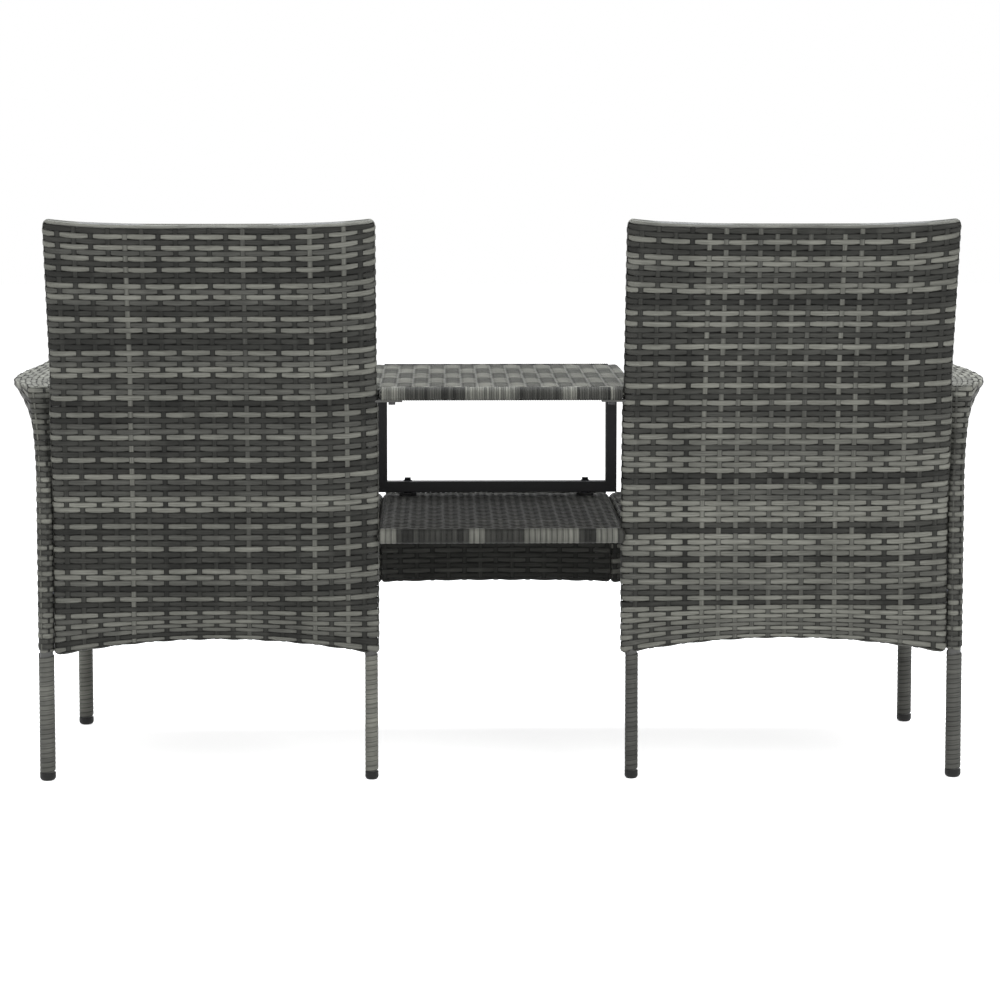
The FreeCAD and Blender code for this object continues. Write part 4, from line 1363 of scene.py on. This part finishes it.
@dataclass(frozen=True)
class Binding:
    """Strands bound side by side over a slab's edge, each `spread` times its width from the next.

    Strands of one shade come in the lengths of `runs`, each run light with the chance `light`.
    """

    strand: Strand
    spread: float = 1.03
    cuts: int = 11
    runs: tuple[int, ...] = (1, 2, 3, 4)
    light: float = 0.4
    dark_tones: Pair = (0.0, 0.25)
    light_tones: Pair = (0.68, 0.9)

    def bind(self, name: str, surface: EdgeRoll, seed: int, counted: tuple[int, ...] = ()) -> Piece:
        """Bind one edge.

        Args:
            name: the piece's name.
            surface: the edge.
            seed: the seed for the tones.
            counted: the runs of dark and light strands from -X, where they show.

        Returns:
            The binding.
        """
        chance = np.random.default_rng(seed)
        count = surface.stakes
        strands, flat, number, across = self.strand.beside(name, count, self.cuts)
        pale = [bool(run % 2) for run, length in enumerate(counted) for _ in range(length)]
        while len(pale) < count:
            pale += [bool(chance.random() < self.light)] * int(chance.choice(self.runs))
        tones = np.where(pale[:count], chance.uniform(*self.light_tones, count),
                         chance.uniform(*self.dark_tones, count))
        mark_strands(strands, np.column_stack([flat[:, 0] * surface.height, across]), number,
                     tones[number])
        places, side = surface.lay(number + across * count / (2 * surface.half),
                                   flat[:, 0] * surface.height, flat[:, 1])
        settle(strands, places, side)
        return strands


@dataclass
class Decks:
    """The lying slabs: two seats, the shelf and the table top, with their bound edges.

    `shelf_runs` and `table_runs` are strands counted on the two rear edges: dark, light, dark...
    """

    seat_x: Pair = (0.1845, 0.656)
    seat_y: Pair = (-0.287, 0.168)
    deck_z: Pair = (0.356, 0.377)
    shelf_half: float = 0.1855
    shelf_inset: float = 0.005
    shelf_y: Pair = (-0.287, 0.200)
    table_z: Pair = (0.571, 0.589)
    table_half: float = 0.201
    tongue_half: float = 0.181
    tongue_inset: float = 0.004
    table_y: Pair = (-0.259, 0.219)
    step_y: Pair = (0.183, 0.191)
    front_corner: float = 0.020
    shelf_batch: Batch = Batch(dark=(0.15, 0.35), middle_share=0.1, gaps=(), stake_dark=(0.5, 0.7),
                               stake_share=0.15)
    # the table's checks of light and dark strands are real; its lighter tones and weaker edge shade
    # are painted light from the lamp above
    table_batch: Batch = Batch(dark=(0.47, 0.57), light=(0.95, 1.0), middle_share=0.0, gaps=(),
                               pairs=11, stake_dark=(0.65, 0.8), stake_share=0.0, edge=0.5)
    table_wave: float = 0.0012
    # painted shade on the table's rows where they dive under a stake
    table_dive_shade: float = 0.5
    wide: Binding = Binding(Strand(0.0080, 0.0014), runs=(3, 3, 6, 9), light=0.42)
    fine: Binding = Binding(Strand(0.0034, 0.0024), runs=(4, 8, 14, 20), light=0.42,
                            dark_tones=(0.0, 0.4), light_tones=(0.55, 0.95))
    shelf_runs: tuple[int, ...] = (1, 4, 3, 10, 7, 3, 13, 3)
    table_runs: tuple[int, ...] = (3, 2, 14, 6, 20, 21, 25, 10)

    def slab(self, middle: float, y: Pair, z: Pair, half: Width, face: int) -> Slab:
        """Make a lying slab whose rows run from side to side.

        Args:
            middle: the x of its middle.
            y: its front and rear.
            z: its bottom and top.
            half: half its width at each place along it.
            face: stake spaces across it.

        Returns:
            The slab.
        """
        level = sum(z) / 2
        start = y[0] + ROW_LIFT

        def lying(across: Array, out: Array, along: Array) -> Array:
            """Lay the slab flat."""
            return np.column_stack([middle + across, start + along, level + out])

        return Slab(y[1] - y[0], z[1] - z[0], half, face, 2, lying)

    def edge(self, name: str, binding: Binding, half: float, y: float, z: Pair,
             facing: float, seed: int, node: str, middle: float = 0.0,
             counted: tuple[int, ...] = ()) -> None:
        """Bind one edge of a slab and dress it.

        Args:
            name: the piece's name.
            binding: the strands to bind it with.
            half: half the edge's length.
            y: the edge's outermost line.
            z: the slab's bottom and top.
            facing: plus one at the rear, minus one at the front.
            seed: the seed for the tones.
            node: the node that the piece stands for.
            middle: the x of the edge's middle.
            counted: the runs of dark and light strands from -X, where they show.
        """
        count = round(2 * half / (binding.strand.width * binding.spread))
        roll = EdgeRoll(half, y, sum(z) / 2, (z[1] - z[0]) / 2, facing, middle, count)
        dress_cane(binding.bind(name, roll, seed, counted), node)

    def build(self, weaver: Weaver) -> None:
        """Weave and bind every deck.

        Args:
            weaver: the weaver to use.
        """
        radius = (self.deck_z[1] - self.deck_z[0]) / 2
        reach = (self.seat_x[1] - self.seat_x[0]) / 2 - radius
        for seed, side in enumerate(Side, start=51):
            node = f"seat_weave_{side.value}"
            middle = side.sign * sum(self.seat_x) / 2
            slab = self.slab(middle, self.seat_y, self.deck_z, even(reach), 16)
            dress_cane(weaver.weave(f"seat_cane_{side.value}", slab, seed), node)
            self.edge(f"seat_binding_{side.value}", self.wide, reach, self.seat_y[0], self.deck_z,
                      -1.0, seed + 10, node, middle)
        slab = self.slab(0.0, self.shelf_y, self.deck_z, even(self.shelf_half - radius), 14)
        dress_cane(weaver.weave("shelf_cane", slab, 53, self.shelf_batch), "shelf_weave")
        reach = self.shelf_half - self.shelf_inset
        self.edge("shelf_binding_rear", self.wide, reach, self.shelf_y[1], self.deck_z, 1.0, 63,
                  "shelf_weave", counted=self.shelf_runs)
        self.edge("shelf_binding_front", self.wide, reach, self.shelf_y[0], self.deck_z, -1.0, 64,
                  "shelf_weave")
        self.table(replace(weaver, wave=self.table_wave, dive_shade=self.table_dive_shade))

    def table(self, weaver: Weaver) -> None:
        """Weave the table top, whose tongue runs back between the two backs.

        Args:
            weaver: the weaver to use.
        """
        radius = (self.table_z[1] - self.table_z[0]) / 2
        tight = self.front_corner - radius

        def half(along: Array) -> Array:
            """Give the table's half width: round front corners, and a step in to the tongue.

            Args:
                along: place along the table, from its front.

            Returns:
                Half the width.
            """
            y = self.table_y[0] + along
            share = np.clip((y - self.step_y[0]) / (self.step_y[1] - self.step_y[0]), 0, 1)
            step = (self.table_half - self.tongue_half) * smooth(share)
            near = np.clip(1 - (along - radius) / tight, 0, 1)
            return self.table_half - radius - step - tight * (1 - np.sqrt(1 - near ** 2))

        slab = self.slab(0.0, self.table_y, self.table_z, half, 16)
        dress_cane(weaver.weave("table_cane", slab, 54, self.table_batch), "table_weave")
        self.edge("table_binding_rear", self.fine, self.tongue_half - self.tongue_inset,
                  self.table_y[1], self.table_z, 1.0, 65, "table_weave", counted=self.table_runs)
        self.edge("table_binding_front", self.fine, self.table_half - self.front_corner,
                  self.table_y[0], self.table_z, -1.0, 66, "table_weave")


@dataclass
class Aprons:
    """The upright skirts under the seats and the shelf."""

    y: Pair = (-0.287, -0.272)
    top: float = 0.3590
    side_x: Pair = (0.1875, 0.656)
    side_bottom: float = 0.226
    side_arch: float = 0.014
    middle_half: float = 0.1895
    middle_bottom: float = 0.228
    middle_arch: float = 0.003
    square: float = 0.45
    # painted shade: the middle apron's strands are darker than the side aprons', for the shade
    # under the shelf
    middle_painted_shade_batch: Batch = Batch(dark=(0.05, 0.15), middle=(0.2, 0.3), middle_share=0.25,
                                light=(0.3, 0.42), gaps=(4, 5, 6), stake_share=0.0)

    def slab(self, middle: float, half: float, bottom: float, arch: float, face: int) -> Slab:
        """Make an upright slab with an arched hem.

        Args:
            middle: the x of its middle.
            half: half its width.
            bottom: the z of its corners.
            arch: how far the hem rises in the middle.
            face: stake spaces across it.

        Returns:
            The slab.
        """
        thick = self.y[1] - self.y[0]
        level = sum(self.y) / 2
        total = self.top - bottom - 2 * ROW_LIFT

        def upright(across: Array, out: Array, along: Array) -> Array:
            """Stand the slab up and arch its hem."""
            rise = arch * (1 - np.clip(across / half, -1, 1) ** 2) * (1 - along / total)
            return np.column_stack([middle + across, level + out, bottom + ROW_LIFT + along + rise])

        return Slab(self.top - bottom, thick, even(half - thick / 2), face, 2, upright,
                    self.square)

    def build(self, weaver: Weaver) -> None:
        """Weave the three aprons.

        Args:
            weaver: the weaver to use.
        """
        middle, half = sum(self.side_x) / 2, (self.side_x[1] - self.side_x[0]) / 2
        for seed, side in enumerate(Side, start=71):
            slab = self.slab(side.sign * middle, half, self.side_bottom, self.side_arch, 16)
            apron = weaver.weave(f"apron_cane_{side.value}", slab, seed)
            dress_cane(apron, f"apron_weave_{side.value}")
        slab = self.slab(0.0, self.middle_half, self.middle_bottom, self.middle_arch, 14)
        apron = weaver.weave("apron_cane_middle", slab, 73, self.middle_painted_shade_batch)
        dress_cane(apron, "apron_weave_middle")


# Legs -------------------------------------------------------------------------


@dataclass
class WoundLegs:
    """Cane wound edge to edge round each bare leg."""

    tones: tuple[tuple[str, float, float], ...] = (
        ("rear_outer", 0.55, 0.45), ("front_outer", 0.74, 0.4), ("rear_inner", 0.82, 0.33))
    strand: Strand = Strand(0.0076, 0.0016)
    pitch: float = 0.0076
    steps: int = 18
    tuck: float = 0.004
    spread: float = 0.07

    def wind(self, name: str, centre: Vector, radius: float, low: float, high: float, tone: float,
             seed: int) -> Piece:
        """Wind one strand up a leg.

        Args:
            name: the piece's name.
            centre: a point on the leg's middle line.
            radius: the leg's outer radius, winding included.
            low: where the winding starts.
            high: where it ends.
            tone: the strand's grey.
            seed: the seed for the small changes in it.

        Returns:
            The winding.
        """
        chance = np.random.default_rng(seed)
        turns = max(1, round((high - low) / self.pitch))
        pitch = (high - low - self.strand.width) / turns
        coil = self.strand.endless(name, 1.0 / self.steps, turns * self.steps)
        flat = coordinates(coil)
        tones = np.clip(tone + chance.normal(0, self.spread, turns + 1), 0, 1)
        length = 2 * math.pi * radius
        mark_strands(coil, np.column_stack([flat[:, 0] * length, flat[:, 2]]), np.zeros(len(flat)),
                     np.interp(flat[:, 0], np.arange(turns + 1), tones))
        angle = flat[:, 0] * 2 * math.pi
        out = radius - self.strand.thickness / 2 + flat[:, 1]
        z = low + self.strand.width / 2 + flat[:, 0] * pitch + flat[:, 2]
        set_coordinates(coil, np.column_stack([
            centre.x + out * np.cos(angle), centre.y + out * np.sin(angle), z]))
        with editing(coil, "DESELECT"):
            bpy.ops.mesh.select_non_manifold()
            bpy.ops.mesh.edge_face_add()
            bpy.ops.mesh.select_all(action="SELECT")
            bpy.ops.mesh.normals_make_consistent(inside=False)
        bpy.ops.object.shade_smooth_by_angle(angle=SMOOTH_ANGLE)
        return coil

    def build(self) -> None:
        """Wind all six legs."""
        seed = 90
        for side in Side:
            for leg, *tones in self.tones:
                node = f"leg_wrap_{leg}_{side.value}"
                low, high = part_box(node)
                seed += 1
                tone = tones[0] if side is Side.LEFT else tones[1]
                coil = self.wind(f"winding_{leg}_{side.value}", (low + high) / 2,
                                 (high.x - low.x) / 2, low.z, high.z + self.tuck, tone, seed)
                dress(coil, Finish.LEG_CANE, Body.BENCH, node)


# Cushions ---------------------------------------------------------------------


@dataclass
class Cushions:
    """Two loose seat cushions, blown up as cloth and piped along their seams.

    `shrink` is how much smaller the blank is on each side, `cap` how far the filling moves a point,
    `rest` the height that the flat underside lies at. Above the share `crown_from` of its height
    the blank is smoothed. `seams` are the pipings' shares of the height.
    """

    shrink: Triple = (0.0005, 0.003, 0.003)
    voxel: float = 0.006
    pressure: float = 4.0
    frames: int = 20
    cap: float = 0.007
    fill: float = 0.7
    rest: float = 0.3776
    piping: float = 0.0026
    seams: tuple[float, ...] = (0.30, 0.72)
    seam_points: int = 220
    crown_from: float = 0.72
    crown_rounds: int = 160

    def blank(self, side: Side) -> Piece:
        """Copy the cushion's solid a little smaller, with even small faces.

        Args:
            side: which cushion.

        Returns:
            The blank to blow up.
        """
        node = bpy.data.objects[f"seat_cushion_{side.value}"]
        blank = bpy.data.objects.new(f"cushion_{side.value}", node.data.copy())
        bpy.context.scene.collection.objects.link(blank)
        low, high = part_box(node.name)
        middle, size = (low + high) / 2, high - low
        points = coordinates(blank)
        scale = np.array([1 - 2 * less / length for less, length in zip(self.shrink, size)])
        set_coordinates(blank, (points - np.array(middle)) * scale + np.array(middle))
        with editing(blank):
            bpy.ops.mesh.remove_doubles(threshold=1e-5)
        modify(blank, "REMESH", mode="VOXEL", voxel_size=self.voxel)
        self.even_out(blank)
        return blank

    def even_out(self, blank: Piece) -> None:
        """Smooth the crown of a blank, so that the filling swells it evenly.

        Args:
            blank: the cushion's blank.
        """
        heights = coordinates(blank)[:, 2]
        low, high = heights.min(), heights.max()
        blank.data.vertices.foreach_set("select", heights > low + (high - low) * self.crown_from)
        with editing(blank, None):
            bpy.ops.mesh.select_mode(type="VERT")
            bpy.ops.mesh.vertices_smooth(factor=0.5, repeat=self.crown_rounds)

    def blow_up(self, blank: Piece) -> None:
        """Swell the blank as cloth under pressure, then cap how far each point moves.

        Args:
            blank: the cushion's blank.
        """
        start = coordinates(blank)
        focus(blank)
        bpy.ops.object.modifier_add(type="CLOTH")
        cloth = blank.modifiers[-1]
        cloth.settings.use_pressure = True
        cloth.settings.uniform_pressure_force = self.pressure
        cloth.settings.effector_weights.gravity = 0.0
        cloth.settings.quality = 5
        for number in range(1, self.frames + 1):
            bpy.context.scene.frame_set(number)
        shown = blank.evaluated_get(bpy.context.evaluated_depsgraph_get())
        swollen = coordinates(shown)
        bpy.ops.object.modifier_remove(modifier=cloth.name)
        bpy.context.scene.frame_set(1)
        move = swollen - start
        far = np.linalg.norm(move, axis=1, keepdims=True)
        set_coordinates(blank, start + move * np.minimum(1.0, self.cap / np.maximum(far, 1e-9)))

    def build(self) -> None:
        """Make both cushions with their piping."""
        for side, body in ((Side.LEFT, Body.LEFT_CUSHION), (Side.RIGHT, Body.RIGHT_CUSHION)):
            node = f"seat_cushion_{side.value}"
            cushion = self.blank(side)
            self.blow_up(cushion)
            modify(cushion, "SUBSURF", levels=1, render_levels=1)
            points = coordinates(cushion)
            points[:, 2] = np.maximum(points[:, 2], self.rest)
            set_coordinates(cushion, points)
            bpy.ops.object.shade_smooth()
            dress(cushion, Finish.COVER_CLOTH, body, node)
            for number, share in enumerate(self.seams):
                piping = self.pipe(f"piping_{side.value}_{number}", cushion, share)
                dress(piping, Finish.COVER_CLOTH, body, node)

    def pipe(self, name: str, cushion: Piece, share: float) -> Piece:
        """Sew one round of piping on the cushion's side.

        Args:
            name: the piece's name.
            cushion: the finished cushion.
            share: how far up the side the seam is.

        Returns:
            The piping.
        """
        tree = BVHTree.FromObject(cushion, bpy.context.evaluated_depsgraph_get())
        points = coordinates(cushion)
        low, high = points.min(axis=0), points.max(axis=0)
        middle = (low + high) / 2
        z = low[2] + (high[2] - low[2]) * share
        deselect()
        bpy.ops.curve.primitive_bezier_circle_add()
        curve = bpy.context.object
        curve.name = name
        curve.data.splines.clear()
        spline = curve.data.splines.new("NURBS")
        spline.points.add(self.seam_points - 1)
        spline.use_cyclic_u = True
        for number, point in enumerate(spline.points):
            angle = 2 * math.pi * number / self.seam_points
            away = Vector((math.cos(angle), math.sin(angle), 0.0))
            hit = tree.ray_cast(Vector((middle[0], middle[1], z)) + away * 0.6, -away)[0]
            point.co = (*hit, 1.0)
        curve.data.bevel_depth = self.piping
        curve.data.bevel_resolution = 2
        curve.data.resolution_u = 3
        bpy.ops.object.convert(target="MESH")
        bpy.ops.object.shade_smooth()
        return curve


# Frames, fittings and the studio ----------------------------------------------


@dataclass(frozen=True)
class Fittings:
    """The carried-over solids, by the words that their node names hold."""

    finishes: tuple[tuple[str, Finish], ...] = (
        ("bolts", Finish.ZINC_STEEL),
        ("washers", Finish.ZINC_STEEL),
        ("pads", Finish.PAD_RUBBER),
        ("foot_cap", Finish.FOOT_PLASTIC),
        ("table_support", Finish.BLACK_STEEL),
        ("table_screws", Finish.BLACK_STEEL),
        ("", Finish.FRAME_STEEL),
    )

    def build(self) -> None:
        """Give each solid that stays its finish."""
        for name in frame["nodes"]:
            finish = next(made for word, made in self.finishes if word in name)
            for slot in bpy.data.objects[name].material_slots:
                slot.material = finish.material
            LOG.info("%s: %s", name, finish.value.name)


@dataclass(frozen=True)
class Lamp:
    """One soft square lamp that looks at the bench: its place, width, power in watts and colour."""

    name: str
    place: Triple
    size: float
    power: float
    tint: Triple = (1.0, 1.0, 1.0)
    target: Triple = (0.0, 0.0, 0.4)

    def hang(self) -> None:
        """Hang the lamp."""
        data = bpy.data.lights.new(self.name, "AREA")
        data.size = self.size
        data.energy = self.power
        data.color = self.tint
        aim_from(bpy.data.objects.new(self.name, data), self.place,
                 Vector(self.target) - Vector(self.place))


def aim_from(obj: Piece, place: Triple, aim: Vector) -> None:
    """Put a camera or lamp in its place and point it.

    Args:
        obj: the camera or lamp.
        place: where it stands.
        aim: the direction it looks in.
    """
    bpy.context.scene.collection.objects.link(obj)
    obj.location = place
    obj.rotation_euler = aim.to_track_quat("-Z", "Y").to_euler()


@dataclass
class Studio:
    """White studio seen from behind the bench, with soft light from above."""

    eye: Triple = (0.0903, 4.654, 0.9565)
    yaw: float = 1.1249
    pitch: float = 4.9595
    focal: float = 3033.6
    shift: float = -0.1
    frame_px: float = 1000.0
    sensor: float = 36.0
    floor: float = 30.0
    lamps: tuple[Lamp, ...] = (
        Lamp("key", (-2.4, 3.0, 2.8), 2.2, 80.0),
        Lamp("fill", (2.6, 2.8, 2.2), 2.4, 40.0),
        Lamp("top", (0.0, -0.2, 3.4), 2.6, 180.0, (0.93, 0.96, 1.0)),
    )

    def camera(self) -> None:
        """Place the camera where the photograph was taken from."""
        data = bpy.data.cameras.new("camera")
        data.sensor_width = self.sensor
        data.sensor_fit = "HORIZONTAL"
        data.lens = self.focal * self.sensor / self.frame_px
        data.shift_y = self.shift
        data.clip_end = 100.0
        camera = bpy.data.objects.new("camera", data)
        yaw, pitch = math.radians(self.yaw), math.radians(self.pitch)
        level = math.cos(pitch)
        aim_from(camera, self.eye, Vector((
            -math.sin(yaw) * level, -math.cos(yaw) * level, -math.sin(pitch))))
        bpy.context.scene.camera = camera

    @staticmethod
    def seen(tree: Tree) -> Socket:
        """Tell the rays that the camera or a gloss sees from those that only carry light."""
        path = add_node(tree, "ShaderNodeLightPath")
        return maths(tree, "MAXIMUM", path.outputs["Is Camera Ray"], path.outputs["Is Glossy Ray"])

    def ground(self) -> None:
        """Lay the pale floor, white to the camera where nothing shades it."""
        deselect()
        bpy.ops.mesh.primitive_plane_add(size=self.floor)
        floor = bpy.context.object
        floor.name = "floor"
        made, tree = new_material("studio_floor")
        pale = add_node(tree, "ShaderNodeBsdfDiffuse", None, {"Color": (0.8, 0.8, 0.8, 1.0)})
        glow = add_node(tree, "ShaderNodeEmission", None, {"Color": WHITE, "Strength": 0.7})
        both = add_node(tree, "ShaderNodeAddShader", None, {0: pale.outputs[0], 1: glow.outputs[0]})
        shader = add_node(tree, "ShaderNodeMixShader", None, {
            0: self.seen(tree), 1: pale.outputs[0], 2: both.outputs[0]})
        finish_output(tree, shader)
        floor.data.materials.append(made)

    def world(self) -> None:
        """Fill the world with even light, and show it white to the camera."""
        world = bpy.data.worlds.new("studio")
        bpy.context.scene.world = world
        world.use_nodes = True
        tree = world.node_tree
        tree.nodes.clear()
        fill = add_node(tree, "ShaderNodeBackground", None, {"Color": WHITE, "Strength": 0.55})
        shown = add_node(tree, "ShaderNodeBackground", None, {"Color": WHITE, "Strength": 1.0})
        mix = add_node(tree, "ShaderNodeMixShader", None, {
            0: self.seen(tree), 1: fill.outputs[0], 2: shown.outputs[0]})
        add_node(tree, "ShaderNodeOutputWorld", None, {"Surface": mix.outputs[0]})

    def build(self) -> None:
        """Set up the camera, floor, world and lamps."""
        self.camera()
        self.ground()
        self.world()
        for lamp in self.lamps:
            lamp.hang()
        bpy.context.scene.view_settings.view_transform = "Standard"


def main() -> None:
    """Build the studio and dress the bench, piece by piece."""
    logging.basicConfig(level=logging.INFO, format="%(name)s %(message)s")
    Studio().build()
    weaver = Weaver()
    BackPanels().build(weaver)
    ArmSides().build(weaver)
    Decks().build(weaver)
    Aprons().build(weaver)
    WoundLegs().build()
    Cushions().build()
    Fittings().build()


if __name__ == "__main__":
    main()
